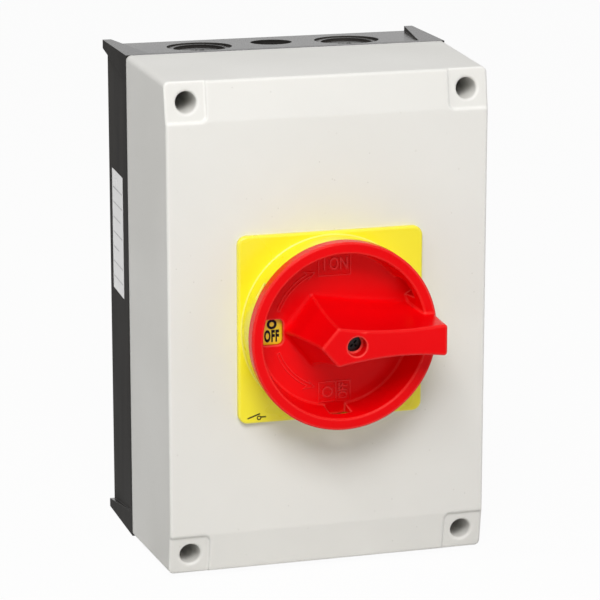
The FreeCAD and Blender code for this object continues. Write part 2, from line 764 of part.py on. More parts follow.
# Handle: one red moulding made of a turned dish with a hub, and a waisted grip across it.
def grip_section(rise):
    """The grip's outline at a share of its height: nose, shoulders, waisted flanks and end."""
    flare = (1 - rise) ** 1.5
    depth = number(DISH_FLOOR) + rise * (number(GRIP_FRONT) - number(DISH_FLOOR))

    def spread(name):
        top = number(f"size.{name}")
        return top + flare * (number(f"size.{name}_foot") - top)

    nose = Vector(-spread("grip_nose"), -depth, 0)
    shoulder_x = -number("size.grip_shoulder_x")
    shoulder_x -= (1 - rise) * (number("size.grip_shoulder_foot_x") - number("size.grip_shoulder_x"))
    upper = [
        Vector(shoulder_x, -depth, spread("grip_shoulder")),
        Vector(number("size.grip_waist_x"), -depth, spread("grip_waist")),
        Vector(number("size.grip_end_x"), -depth, spread("grip_end")),
    ]
    lower = [Vector(point.x, point.y, -point.z) for point in upper]
    flank = Part.BSplineCurve()
    flank.interpolate(upper)
    mirrored = Part.BSplineCurve()
    mirrored.interpolate(lower[::-1])
    edges = [
        Part.LineSegment(nose, upper[0]).toShape(),
        flank.toShape(),
        Part.LineSegment(upper[-1], lower[-1]).toShape(),
        mirrored.toShape(),
        Part.LineSegment(lower[0], nose).toShape(),
    ]
    return Part.Wire(edges)


def rises(edge):
    """Whether the edge of the grip climbs above the rim."""
    return edge.BoundBox.YLength > number("size.grip_height") / 3


def is_grip_edge(edge):
    """Whether the edge is a ridge of the nose or an outer edge of the grip's front face."""
    middle = middle_of(edge)
    ridge = rises(edge) and middle.x < 0
    front = -middle.y > number(f"{GRIP_FRONT} - size.grip_edge")
    on_outline = abs(middle.z) > number("size.grip_waist / 2") or middle.x > number("size.grip_waist_x")
    return ridge or (front and on_outline)


def build_grip():
    """The faceted grip, kept inside the dish wall and the rim, with a slightly hollow front face."""
    solid = Part.makeLoft([grip_section(rise) for rise in (0, 0.2, 0.45, 0.75, 1)], True, False)
    forward = Vector(0, -1, 0)
    wall_start = Vector(0, -number(DISH_BACK), 0)
    wall_length = number(f"{RIM_FRONT} - {DISH_BACK}")
    wall = Part.makeCylinder(number("size.dish_wall_radius"), wall_length, wall_start, forward)
    rim_start = Vector(0, -number(RIM_BACK), 0)
    rim_length = number(f"{GRIP_FRONT} - {RIM_BACK} + size.cut_past")
    rim = Part.makeCylinder(number("size.rim_radius"), rim_length, rim_start, forward)
    solid = solid.common(wall.fuse(rim))
    waist_x = number("size.grip_waist_x")
    chord = number("size.grip_end_x") - waist_x
    hollow = number("size.grip_hollow")
    radius = (chord**2 + hollow**2) / (2 * hollow)
    below = number("size.grip_shoulder_foot")
    centre = Vector(waist_x, hollow - radius - number(GRIP_FRONT), -below)
    scoop = Part.makeCylinder(radius, 2 * below, centre, Vector(0, 0, 1))
    solid = solid.cut(scoop).Solids[0]
    ends = [edge for edge in solid.Edges if rises(edge) and middle_of(edge).x > number("size.grip_waist_x")]
    solid = solid.makeFillet(number("size.grip_end_edge"), ends)
    solid = solid.makeFillet(number("size.grip_edge"), [edge for edge in solid.Edges if is_grip_edge(edge)])
    grip = doc.addObject("Part::Feature", "grip")
    grip.Shape = solid
    return grip


def rounding(name, base, radius, wanted):
    """Fillets along the wanted edges of a shape that several bodies make up."""
    doc.recompute()
    size = number(radius)
    made = doc.addObject("Part::Fillet", name)
    made.Base = base
    made.Edges = [(index, size, size) for index, edge in enumerate(base.Shape.Edges, start=1) if wanted(edge)]
    return made


def is_grip_foot(edge):
    """True where the grip's loft meets the dish's floor."""
    return lies_at_depth(edge, number(DISH_FLOOR)) and edge.Curve.TypeId == "Part::GeomBSplineCurve"


def is_floor_circle(edge):
    """True where the dish's sloping wall meets its floor."""
    if not lies_at_depth(edge, number(DISH_FLOOR)) or edge.Curve.TypeId != "Part::GeomCircle":
        return False
    return abs(edge.Curve.Radius - number("size.dish_floor_radius")) < CLOSE


def build_handle_grip():
    dish = new_body("dish")
    turned(
        dish,
        "Revolution",
        "dish_and_hub",
        [
            (HUB_BACK, "size.hub_bore"),
            (HUB_BACK, "size.hub_radius"),
            (RING_BACK, "size.hub_radius"),
            (RING_BACK, "size.ring_groove_radius"),
            (RING_FRONT, "size.ring_groove_radius"),
            (RING_FRONT, "size.hub_radius"),
            (DISH_BACK, "size.hub_radius"),
            (DISH_BACK, "size.dish_wall_radius"),
            (RIM_BACK, "size.dish_wall_radius"),
            (RIM_BACK, "size.rim_radius"),
            (RIM_FRONT, "size.rim_radius"),
            (RIM_FRONT, "size.dish_mouth_radius"),
            (DISH_FLOOR, "size.dish_floor_radius"),
            (DISH_FLOOR, "0"),
            (PLUG_FRONT, "0"),
            (PLUG_FRONT, "size.hub_bore"),
        ],
    )
    round_edges(dish, "rim_rounding", "size.rim_edge", lambda edge: lies_at_depth(edge, number(RIM_FRONT)))
    gap = sketch_on(dish, "slot_outline", "XZ_Plane", COLLAR_FRONT)
    middle = "-(size.dish_floor_radius + size.dish_wall_radius) / 2"
    half = "(size.dish_wall_radius - size.dish_floor_radius) / 2 + size.cut_past"
    draw_outline(gap, rectangle("size.dish_slot_width / 2", half, "0", middle))
    slot = feature(dish, "Pocket", "slot", gap, f"{COLLAR_FRONT} - {DISH_FLOOR}")
    around_axis(dish, "slots", slot, 3)
    whole = fuse("handle_moulding", [dish, build_grip()])
    foot = rounding("grip_foot", whole, "size.grip_foot_radius", is_grip_foot)
    rounded = rounding("floor_rounding", foot, "size.dish_floor_edge", is_floor_circle)
    outline = rectangle("size.window_width / 2", "size.window_height / 2", "-size.window_centre")
    window = padded_body("window", outline, DISH_BACK, "size.dish_floor + size.grip_foot_radius")
    round_edges(window, "window_corners", "size.window_corner", runs_in_depth_only)
    well_floor = f"{GRIP_FRONT} - size.grip_well_depth"
    well = rod("grip_well", "size.grip_well_radius", (well_floor, f"{GRIP_FRONT} + size.cut_past"))
    counterbore = rod("grip_counterbore", "size.screw_head_radius", (SCREW_SEAT, well_floor))
    through = rod("grip_screw_hole", "size.screw_radius", (f"{PLATE_FRONT} - size.cut_past", SCREW_SEAT))
    return cut("handle_grip", rounded, [window, well, counterbore, through])


def build_handle_screw():
    """The long screw in the grip's well. It pulls the handle onto the shaft coupler."""
    shank = (f"{SOCKET_END} + size.tip_gap", SCREW_SEAT)
    head = (SCREW_SEAT, f"{SCREW_SEAT} + size.screw_head_height")
    head_radius = "size.screw_head_radius - size.screw_head_fit"
    made = screw("handle_screw", "0", "0", "size.screw_radius", shank, head_radius, head)
    made.Placement.Rotation = Rotation(Vector(0, 1, 0), 45)
    return made


def build_shaft_coupler():
    plug = rod("coupler_plug", "size.hub_bore", (HUB_BACK, PLUG_FRONT))
    cup_back = f"{HUB_BACK} - size.coupler_length"
    cup = rod("coupler_cup", "size.coupler_radius", (cup_back, HUB_BACK))
    side = between("0", "size.socket_side / 2")
    socket = block("coupler_socket", side, (f"{cup_back} - size.cut_past", SOCKET_END), side)
    hole = rod("coupler_screw_hole", "size.screw_radius", (SOCKET_END, f"{PLUG_FRONT} + size.cut_past"))
    return cut("shaft_coupler", fuse("coupler_blank", [plug, cup]), [socket, hole])


def build_retaining_ring():
    """Split ring in the hub's groove. It holds the handle in the escutcheon's spigot."""
    ring = rod("ring_disc", "size.ring_radius", (RING_BACK, RING_FRONT))
    through = (f"{RING_BACK} - size.cut_past", f"{RING_FRONT} + size.cut_past")
    hole = rod("ring_hole", "size.ring_groove_radius", through)
    mouth = between("0", "size.ring_groove_radius / 2")
    below = ("-size.ring_radius - size.cut_past", "-size.ring_groove_radius / 2")
    split = block("ring_split", mouth, through, below)
    return cut("retaining_ring", ring, [hole, split])


def build_ring(name, inner, outer, depth):
    """A plain ring around the Y axis."""
    disc = rod(f"{name}_disc", outer, depth)
    hole = rod(f"{name}_hole", inner, (f"{depth[0]} - size.cut_past", f"{depth[1]} + size.cut_past"))
    return cut(name, disc, [hole])


def padded_body(name, corners, back, thickness):
    """A body that is one pad: an outline in X and Z, grown forward from a depth."""
    body = new_body(name)
    sketch = sketch_on(body, f"{name}_outline", "XZ_Plane", back)
    draw_outline(sketch, corners)
    feature(body, "Pad", f"{name}_pad", sketch, thickness)
    return body


# Mounting plate on the bosses, and the earth bar below it.
def build_mounting_plate():
    corners = rectangle("size.carrier_width / 2", "size.carrier_height / 2")
    body = padded_body("mounting_plate", corners, BOSS_TOP, "size.carrier_thickness")
    round_edges(body, "carrier_corners", "size.carrier_corner", runs_in_depth_only)
    holes = sketch_on(body, "carrier_holes_outline", "XZ_Plane", CARRIER_FRONT)
    for side_x, side_z in CORNERS:
        boss = (f"{side_x} * size.boss_x", f"{side_z} * size.boss_z")
        flange = (f"{side_x} * size.flange_screw_x", f"{side_z} * size.flange_screw_z")
        draw_circle(holes, "size.screw_radius + size.screw_clearance", *boss)
        draw_circle(holes, "size.screw_radius", *flange)
    feature(body, "Pocket", "carrier_holes", holes, "size.carrier_thickness")
    return body


def build_earth_bar():
    along = between("0", "size.earth_half_length")
    depth = (BOSS_TOP, f"{BOSS_TOP} + size.earth_depth")
    bar = block("earth_blank", along, depth, between(EARTH_Z, "size.earth_height / 2"))
    through = (f"{BOSS_TOP} - size.cut_past", f"{BOSS_TOP} + size.earth_depth + size.cut_past")
    tools = []
    for side in SIDES:
        place = f"{side} * size.earth_fixing_x"
        tools.append(rod(f"earth_fixing_hole_{side + 1}", "size.screw_radius", through, place, EARTH_Z))
    for index in POLES:
        place = f"{index} * size.earth_pitch"
        middle = f"{BOSS_TOP} + size.earth_depth / 2"
        wire = doc.addObject("Part::Cylinder", "earth_wire_hole")
        wire.setExpression("Radius", "size.earth_wire_radius")
        wire.setExpression("Height", "size.earth_height + 2 * size.cut_past")
        wire.setExpression("Placement.Base.x", place)
        wire.setExpression("Placement.Base.y", f"-({middle})")
        wire.setExpression("Placement.Base.z", f"{EARTH_Z} - size.earth_height / 2 - size.cut_past")
        tools.append(wire)
        front = (middle, f"{BOSS_TOP} + size.earth_depth + size.cut_past")
        tools.append(rod("earth_clamp_hole", "size.screw_radius", front, place, EARTH_Z))
    return cut("earth_bar", bar, tools)


def build_earth_bar_screws():
    """Two fixing screws at the ends and a clamping screw over each wire hole."""
    front = f"{BOSS_TOP} + size.earth_depth"
    head = (front, f"{front} + size.screw_head_height")
    head_radius = "size.screw_head_radius"
    screws = []
    for side in SIDES:
        place = f"{side} * size.earth_fixing_x"
        shank = (f"{BOSS_TOP} - size.boss_height", front)
        screws.append(screw("earth_fixing", place, EARTH_Z, "size.screw_radius", shank, head_radius, head))
    for index in POLES:
        place = f"{index} * size.earth_pitch"
        shank = (f"{front} - size.earth_depth / 2 + size.earth_wire_radius", front)
        screws.append(screw("earth_clamp", place, EARTH_Z, "size.screw_radius", shank, head_radius, head))
    return loose_set("earth_bar_screws", screws)


def four_screws(name, across, height, shank_radius, shank, head_radius, head):
    """The same screw in the four corners, as one set."""
    screws = []
    for side_x, side_z in CORNERS:
        place = (f"{side_x} * {across}", f"{side_z} * {height}")
        screws.append(screw(f"{name}_one", *place, shank_radius, shank, head_radius, head))
    return loose_set(name, screws)


# Switch block: a base and a top of moulded plastic around four poles.
def pole_x(index, shift="0"):
    """The place of a pole along X, with a shift."""
    return f"({index} * size.pole_pitch + {shift})"


def build_contact(name, index, side):
    """A flat fixed contact: a tongue under the moving contact and a tab in the terminal."""
    tongue = pole_x(index, THROW_X)
    tongue_left, tongue_right = between(tongue, "size.tongue_width / 2")
    tab_left, tab_right = between(pole_x(index), "size.tab_width / 2")
    corners = [
        (tongue_left, "size.tongue_start"),
        (tongue_right, "size.tongue_start"),
        (tongue_right, "(size.tab_start + size.tongue_width / 2)"),
        (tab_right, "(size.tab_start + size.tongue_width / 2)"),
        (tab_right, "size.tab_end"),
        (tab_left, "size.tab_end"),
        (tab_left, "size.tab_start"),
        (tongue_left, "size.tab_start"),
    ]
    corners = [(across, f"{side} * {up}") for across, up in corners]
    return padded_body(name, corners, BAR_BACK, "size.bar_thickness")


def clamp_pockets(name, depth):
    """Room for the eight terminal clamps, open at the block's upper and lower faces."""
    pockets = []
    for index in POLES:
        across = between(pole_x(index), "size.clamp_width / 2 + size.clamp_fit")
        inner = "size.clamp_z - size.clamp_length / 2 - size.clamp_fit"
        outer = "size.block_height / 2 + size.cut_past"
        pockets.append(block(f"{name}_upper", across, depth, (inner, outer)))
        pockets.append(block(f"{name}_lower", across, depth, (f"-({outer})", f"-({inner})")))
    return pockets


def corner_rods(name, radius, depth, across, height):
    """The same round cutter in the four corners."""
    places = [(f"{side_x} * {across}", f"{side_z} * {height}") for side_x, side_z in CORNERS]
    return [rod(name, radius, depth, *place) for place in places]


def build_switch_base(contacts):
    across = between("0", "size.block_width / 2")
    height = between("0", "size.block_height / 2")
    body = block("base_block", across, (CARRIER_FRONT, BAR_FRONT), height)
    across = between("0", "size.flange_width / 2")
    height = between("0", "size.flange_height / 2")
    flange_front = f"{CARRIER_FRONT} + size.flange_thickness"
    flange = block("base_flange", across, (CARRIER_FRONT, flange_front), height)
    pocket_back = f"{BAR_BACK} - size.clamp_behind - size.clamp_fit"
    pocket_depth = (pocket_back, f"{BAR_FRONT} + size.cut_past")
    tools = clamp_pockets("base_pocket", pocket_depth) + contacts
    through = (f"{CARRIER_FRONT} - size.cut_past", f"{flange_front} + size.cut_past")
    shank = "size.screw_radius + size.screw_clearance"
    tools += corner_rods("flange_hole", shank, through, "size.flange_screw_x", "size.flange_screw_z")
    pilot = (f"{BAR_FRONT} - size.joint_screw_reach - size.tip_gap", f"{BAR_FRONT} + size.cut_past")
    places = ("size.joint_screw_x", "size.joint_screw_z")
    tools += corner_rods("joint_pilot", "size.joint_screw_radius", pilot, *places)
    return cut("switch_base", fuse("base_blank", [body, flange]), tools)


def build_switch_top():
    across = between("0", "size.block_width / 2")
    height = between("0", "size.block_height / 2")
    body = block("top_block", across, (BAR_FRONT, BLOCK_FRONT), height)
    beyond = between("0", "size.block_width / 2 + size.cut_past")
    tools = []
    shoulder_depth = (f"{BLOCK_FRONT} - size.shoulder_drop", f"{BLOCK_FRONT} + size.cut_past")
    outer = "size.block_height / 2 + size.cut_past"
    tools.append(block("upper_shoulder", beyond, shoulder_depth, ("size.shoulder_z", outer)))
    tools.append(block("lower_shoulder", beyond, shoulder_depth, (f"-({outer})", "-size.shoulder_z")))
    channel_half = f"1.5 * size.pole_pitch + {THROW_X} + size.carriage_end + size.channel_end_gap"
    along = between("0", channel_half)
    channel_depth = (f"{BAR_FRONT} - size.cut_past", CHANNEL_FRONT)
    channel_height = between("0", "size.carriage_height / 2 + size.running_gap")
    tools.append(block("channel", along, channel_depth, channel_height))
    bridge_front = f"{CARRIAGE_BACK} + size.bar_thickness + 2 * size.running_gap"
    bridge_depth = (f"{BAR_FRONT} - size.cut_past", bridge_front)
    bridge_height = between("0", "size.bridge_half_length + 2 * size.running_gap")
    tools.append(block("bridge_channel", along, bridge_depth, bridge_height))
    cavity = (f"{CHANNEL_FRONT} - size.cut_past", f"{DISC_FRONT} + size.running_gap")
    tools.append(rod("disc_cavity", "size.disc_radius + size.running_gap", cavity))
    bore = (f"{DISC_FRONT} - size.cut_past", f"{BLOCK_FRONT} + size.cut_past")
    tools.append(rod("hub_bore", "size.disc_hub_radius + size.bore_fit", bore))
    middle = f"({DISC_BACK} + size.disc_thickness / 2)"
    spring_depth = between(middle, "size.index_width / 2")
    spring_along = between("0", "size.index_half_length + size.clamp_fit")
    tools.append(block("index_cavity", spring_along, spring_depth, between("0", "size.index_end")))
    pocket_front = f"{BAR_FRONT} + size.clamp_front + size.clamp_fit"
    tools += clamp_pockets("top_pocket", (f"{BAR_FRONT} - size.cut_past", pocket_front))
    for index in POLES:
        for side in SIDES:
            place = (pole_x(index), f"{side} * size.clamp_z")
            well = (BAR_FRONT, f"{BLOCK_FRONT} + size.cut_past")
            tools.append(rod("terminal_well", "size.terminal_head_radius + size.running_gap", well, *place))
    shank = "size.joint_screw_radius + size.screw_clearance"
    places = ("size.joint_screw_x", "size.joint_screw_z")
    through = (f"{BAR_FRONT} - size.cut_past", f"{BLOCK_FRONT} + size.cut_past")
    tools += corner_rods("joint_hole", shank, through, *places)
    seat = (f"{BLOCK_FRONT} - size.joint_seat", f"{BLOCK_FRONT} + size.cut_past")
    tools += corner_rods("joint_seat", "size.joint_head_radius + size.screw_clearance", seat, *places)
    return cut("switch_top", body, tools)


def build_terminal_clamps():
    """Eight steel frames. Each is drawn forward by its screw and grips the wire against the tab."""
    frames = []
    for index in POLES:
        for side in SIDES:
            height = between(f"{side} * size.clamp_z", "size.clamp_length / 2")
            back = f"{BAR_BACK} - size.clamp_behind"
            front = f"{BAR_FRONT} + size.clamp_front"
            half = "size.clamp_width / 2"
            outer = block("clamp_blank", between(pole_x(index), half), (back, front), height)
            opening = (f"{back} + 2 * size.clamp_wall", f"{front} - 2 * size.clamp_wall")
            inner = block(
                "clamp_opening",
                between(pole_x(index), f"{half} - size.clamp_wall"),
                opening,
                between(f"{side} * size.clamp_z", "size.clamp_length / 2 + size.cut_past"),
            )
            place = (pole_x(index), f"{side} * size.clamp_z")
            screw_depth = (BAR_FRONT, f"{front} + size.cut_past")
            thread = rod("clamp_thread", "size.terminal_screw_radius", screw_depth, *place)
            frames.append(cut("clamp_frame", outer, [inner, thread]))
    return loose_set("terminal_clamps", frames)


def build_terminal_screws():
    screws = []
    front = f"{BAR_FRONT} + size.clamp_front"
    seat = f"{front} + size.terminal_head_gap"
    radii = ("size.terminal_screw_radius", "size.terminal_head_radius")
    head = (seat, f"{seat} + size.terminal_head_height")
    for index in POLES:
        for side in SIDES:
            place = (pole_x(index), f"{side} * size.clamp_z")
            screws.append(screw("terminal", *place, radii[0], (BAR_FRONT, seat), radii[1], head))
    return loose_set("terminal_screws", screws)


# Contact carriage: it slides along X and holds the four moving contacts and their springs.
def profile_body(name, across, half_width, corners):
    """A body with an outline in depth and Z, grown along X around a place."""
    body = new_body(name)
    sketch = sketch_on(body, f"{name}_outline", "YZ_Plane", f"{across} - {half_width}")
    draw_outline(sketch, [(f"-({depth})", up) for depth, up in corners])
    feature(body, "Pad", f"{name}_pad", sketch, f"2 * {half_width}")
    return body


def mirrored_outline(half):
    """An outline closed by its mirror image across Z = 0. Corners are pairs of depth and height."""
    return half + [(depth, f"-({up})") for depth, up in reversed(half)]


def build_carriage():
    left = f"-(1.5 * size.pole_pitch + {THROW_X} + size.carriage_end)"
    right = f"1.5 * size.pole_pitch - {THROW_X} + size.carriage_end"
    depth = (CARRIAGE_BACK, CARRIAGE_FRONT)
    body = block("carriage_blank", (left, right), depth, between("0", "size.carriage_height / 2"))
    tools = []
    pocket_depth = (f"{CARRIAGE_BACK} - size.cut_past", f"{CARRIAGE_BACK} + size.bridge_pocket")
    for index in POLES:
        across = between(pole_x(index, f"-{THROW_X}"), "size.bridge_pocket / 2")
        height = between("0", "size.carriage_height / 2 + size.cut_past")
        tools.append(block("bridge_slot", across, pocket_depth, height))
    slot_across = between(f"-{THROW_X}", "size.crank_pin_radius + size.yoke_play")
    pin_reach = f"{DISC_BACK} - size.pin_reach - size.running_gap"
    low = f"{THROW_X} - size.crank_pin_radius - size.yoke_play - size.running_gap"
    high = "size.crank_throw + size.crank_pin_radius + size.yoke_play + size.running_gap"
    slot_depth = (pin_reach, f"{CARRIAGE_FRONT} + size.cut_past")
    tools.append(block("yoke_slot", slot_across, slot_depth, (low, high)))
    return cut("contact_carriage", body, tools)


def build_moving_contact(name, index):
    """A bridge bent up in the middle. Its ends come down on the tongues of one pole."""
    thickness = "size.bar_thickness"
    rise = f"{CARRIAGE_BACK} + size.bridge_rise"
    step = "size.tongue_start"
    half = [
        (CARRIAGE_BACK, "size.bridge_half_length"),
        (CARRIAGE_BACK, step),
        (rise, f"{step} - size.bridge_rise"),
    ]
    front_half = [
        (f"{CARRIAGE_BACK} + {thickness}", "size.bridge_half_length"),
        (f"{CARRIAGE_BACK} + {thickness}", f"{step} + size.bar_thickness / 4"),
        (f"{rise} + {thickness}", f"{step} + size.bar_thickness / 4 - size.bridge_rise"),
    ]
    back = mirrored_outline(half)
    front = mirrored_outline(front_half)
    corners = back + front[::-1]
    return profile_body(name, pole_x(index, f"-{THROW_X}"), "size.bridge_width / 2", corners)


def build_contact_spring(name, index):
    """A bowed leaf between the moving contact and the roof of its pocket."""
    back = f"{CARRIAGE_BACK} + size.bridge_rise + size.bar_thickness"
    front = f"{CARRIAGE_BACK} + size.bridge_pocket"
    leaf = "size.spring_thickness"
    half = [(f"{front} - {leaf}", "size.spring_half_length"), (back, "size.spring_foot")]
    front_half = [
        (front, "size.spring_half_length"),
        (f"{back} + {leaf}", f"size.spring_foot - {leaf} / 2"),
    ]
    corners = mirrored_outline(half) + mirrored_outline(front_half)[::-1]
    return profile_body(name, pole_x(index, f"-{THROW_X}"), "size.spring_width / 2", corners)


# Crank: a disc with a hub on the square shaft, an eccentric pin and two index springs.
def build_crank_disc():
    body = new_body("crank_disc")
    turned(
        body,
        "Revolution",
        "disc_and_hub",
        [
            (DISC_BACK, "0"),
            (DISC_BACK, "size.disc_radius"),
            (DISC_FRONT, "size.disc_radius"),
            (DISC_FRONT, "size.disc_hub_radius"),
            (f"{DISC_FRONT} + size.disc_hub_length", "size.disc_hub_radius"),
            (f"{DISC_FRONT} + size.disc_hub_length", "0"),
        ],
    )
    socket_length = f"{DISC_FRONT} + size.disc_hub_length - {DISC_BACK} - size.disc_web"
    socket = sketch_on(body, "socket_outline", "XZ_Plane", f"{DISC_FRONT} + size.disc_hub_length")
    draw_outline(socket, rectangle("size.shaft_side / 2", "size.shaft_side / 2"))
    feature(body, "Pocket", "socket", socket, socket_length)
    pin = sketch_on(body, "pin_outline", "XZ_Plane", DISC_BACK)
    draw_circle(pin, "size.crank_pin_radius", f"-{THROW_X}", THROW_X)
    feature(body, "Pocket", "pin_hole", pin, "size.pin_seat", True)
    notch = sketch_on(body, "notch_outline", "XZ_Plane", DISC_FRONT)
    draw_outline(
        notch,
        [
            ("0", "(size.disc_radius - size.notch_depth)"),
            ("size.notch_half_width", "size.disc_radius"),
            ("size.notch_half_width", "(size.disc_radius + size.cut_past)"),
            ("-size.notch_half_width", "(size.disc_radius + size.cut_past)"),
            ("-size.notch_half_width", "size.disc_radius"),
        ],
    )
    first = feature(body, "Pocket", "notch", notch, "size.disc_thickness")
    around_axis(body, "notches", first, 4)
    return body


def build_crank_pin():
    depth = (f"{DISC_BACK} - size.pin_reach", f"{DISC_BACK} + size.pin_seat")
    return rod("crank_pin", "size.crank_pin_radius", depth, f"-{THROW_X}", THROW_X)


def build_drive_shaft():
    side = between("0", "size.shaft_side / 2")
    return block("drive_shaft", side, (SHAFT_BACK, f"{SOCKET_END} - size.shaft_end_gap"), side)


def build_index_spring(name, side):
    """A bent strip. Its nose lies in a notch of the crank disc and its ends bear on the block."""
    leaf = "size.index_thickness"
    shoulder_x = "size.notch_half_width * 1.25"
    end_x = "size.index_half_length"
    foot_x = "size.index_half_length - 1.5"
    outer = [
        (f"-{end_x}", "size.index_end"),
        (f"-({foot_x})", "size.index_end"),
        (f"-{shoulder_x}", "size.index_shoulder"),
        ("0", f"(size.index_nose + {leaf} * 1.1)"),
        (shoulder_x, "size.index_shoulder"),
        (foot_x, "size.index_end"),
        (end_x, "size.index_end"),
    ]
    inner = [(across, f"({up} - {leaf})") for across, up in outer]
    inner[3] = ("0", "size.index_nose")
    corners = [(across, f"{side} * {up}") for across, up in outer + inner[::-1]]
    back = f"{DISC_BACK} + size.disc_thickness / 2 - size.index_width / 2"
    return padded_body(name, corners, back, "size.index_width")


contacts = []
for number_of_pole, index in enumerate(POLES, start=1):
    contacts.append(build_contact(f"line_contact_{number_of_pole}", index, 1))
for number_of_pole, index in enumerate(POLES, start=1):
    contacts.append(build_contact(f"load_contact_{number_of_pole}", index, -1))

parts = [
    build_rear_housing(),
    build_front_cover(),
    build_cover_gasket(),
    four_screws(
        "cover_screws",
        WELL_X,
        WELL_Z,
        "size.screw_radius",
        ("size.base_depth - size.cover_screw_reach", f"{PARTING} + size.well_floor"),
        "size.screw_head_radius",
        (f"{PARTING} + size.well_floor", f"{PARTING} + size.well_floor + size.screw_head_height"),
    ),
    build_escutcheon_plate(),
    build_ring(
        "escutcheon_gasket",
        "size.face_seal_radius",
        "size.face_seal_radius + size.face_seal_width",
        (FACE, f"{FACE} + size.face_seal_depth"),
    ),
    four_screws(
        "escutcheon_screws",
        "size.plate_screw_x",
        "size.plate_screw_x",
        "size.plate_screw_radius",
        (COVER_INSIDE, f"{FACE} + size.plate_screw_depth"),
        "size.joint_head_radius",
        (f"{COVER_INSIDE} - size.screw_head_height", COVER_INSIDE),
    ),
    build_ring(
        "hub_seal",
        "size.hub_radius + size.seal_gap",
        "size.seal_radius",
        (f"{FACE} - size.seal_width / 2", f"{FACE} + size.seal_width / 2"),
    ),
    build_handle_grip(),
    build_handle_screw(),
    build_shaft_coupler(),
    build_retaining_ring(),
    build_mounting_plate(),
    four_screws(
        "mounting_plate_screws",
        "size.boss_x",
        "size.boss_z",
        "size.screw_radius",
        (f"{BOSS_TOP} - size.boss_height", CARRIER_FRONT),
        "size.screw_head_radius",
        (CARRIER_FRONT, f"{CARRIER_FRONT} + size.screw_head_height"),
    ),
    build_earth_bar(),
    build_earth_bar_screws(),
    build_switch_base(contacts),
    build_switch_top(),
    four_screws(
        "switch_housing_screws",
        "size.joint_screw_x",
        "size.joint_screw_z",
        "size.joint_screw_radius",
        (f"{BAR_FRONT} - size.joint_screw_reach", f"{BLOCK_FRONT} - size.joint_seat"),
        "size.joint_head_radius",
        (f"{BLOCK_FRONT} - size.joint_seat", f"{BLOCK_FRONT} - size.joint_seat + size.joint_head_height"),
    ),
    four_screws(
        "switch_fixing_screws",
        "size.flange_screw_x",
        "size.flange_screw_z",
        "size.screw_radius",
        (BOSS_TOP, f"{CARRIER_FRONT} + size.flange_thickness"),
        "size.screw_head_radius",
        (
            f"{CARRIER_FRONT} + size.flange_thickness",
            f"{CARRIER_FRONT} + size.flange_thickness + size.screw_head_height",
        ),
    ),
    build_terminal_clamps(),
    build_terminal_screws(),
    build_crank_disc(),
    build_crank_pin(),
    build_drive_shaft(),
    build_index_spring("index_spring_upper", 1),
    build_index_spring("index_spring_lower", -1),
    build_carriage(),
]
for number_of_pole, index in enumerate(POLES, start=1):
    parts.append(build_moving_contact(f"moving_contact_{number_of_pole}", index))
    parts.append(build_contact_spring(f"contact_spring_{number_of_pole}", index))
parts += contacts

doc.recompute()
for item in doc.Objects:
    if "Invalid" in item.State or "Error" in item.State:
        raise RuntimeError(f"{item.Label} did not rebuild: {item.State}")

os.makedirs("parts", exist_ok=True)
for part in parts:
    if part.Shape.isNull() or not part.Shape.isValid():
        raise RuntimeError(f"{part.Label} has no valid shape")
    part.Shape.exportStep(f"parts/{part.Label}.step")
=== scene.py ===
"""Looks for the enclosed rotary isolator switch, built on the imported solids."""
import math

import bmesh
import bpy
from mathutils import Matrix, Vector


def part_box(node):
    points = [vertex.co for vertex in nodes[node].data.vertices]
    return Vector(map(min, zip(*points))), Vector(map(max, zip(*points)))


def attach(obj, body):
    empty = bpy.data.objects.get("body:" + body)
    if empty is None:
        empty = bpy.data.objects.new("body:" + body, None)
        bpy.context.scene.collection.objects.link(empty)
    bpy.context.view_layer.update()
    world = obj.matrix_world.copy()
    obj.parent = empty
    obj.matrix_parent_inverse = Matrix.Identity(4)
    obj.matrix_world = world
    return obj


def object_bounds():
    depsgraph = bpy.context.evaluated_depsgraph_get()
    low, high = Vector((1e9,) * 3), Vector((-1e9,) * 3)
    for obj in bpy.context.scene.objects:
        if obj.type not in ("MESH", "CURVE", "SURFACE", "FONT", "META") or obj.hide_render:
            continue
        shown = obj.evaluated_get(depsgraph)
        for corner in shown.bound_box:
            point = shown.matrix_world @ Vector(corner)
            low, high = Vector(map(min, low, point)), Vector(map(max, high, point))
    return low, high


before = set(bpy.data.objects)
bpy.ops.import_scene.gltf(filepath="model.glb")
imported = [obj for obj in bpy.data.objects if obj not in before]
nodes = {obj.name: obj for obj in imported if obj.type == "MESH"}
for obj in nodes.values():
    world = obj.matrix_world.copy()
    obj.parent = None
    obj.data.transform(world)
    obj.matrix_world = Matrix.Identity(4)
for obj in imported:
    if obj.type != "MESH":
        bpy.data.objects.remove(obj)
cad_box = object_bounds()
scene = bpy.context.scene

# Studio: a pale floor under the switch, a soft key lamp from the upper left, a small lamp further
# left that draws the edges, and a weak fill from the right. The camera, glossy surfaces and clear
# pieces see a white surround, and a dimmer one lights the object.
scene.view_settings.view_transform = "Standard"
aim = Vector((0.0063, -0.05, -0.0058))
azimuth = math.radians(-16.38)
elevation = math.radians(14.02)
camera_distance = 1.4589
toward_camera = Vector((
    math.sin(azimuth) * math.cos(elevation),
    -math.cos(azimuth) * math.cos(elevation),
    math.sin(elevation),
))
camera_data = bpy.data.cameras.new("camera")
camera_data.lens = 177.46
camera_data.sensor_width = 36
camera = bpy.data.objects.new("camera", camera_data)
camera.location = aim + toward_camera * camera_distance
camera.rotation_euler = (-toward_camera).to_track_quat("-Z", "Y").to_euler()
scene.collection.objects.link(camera)
scene.camera = camera


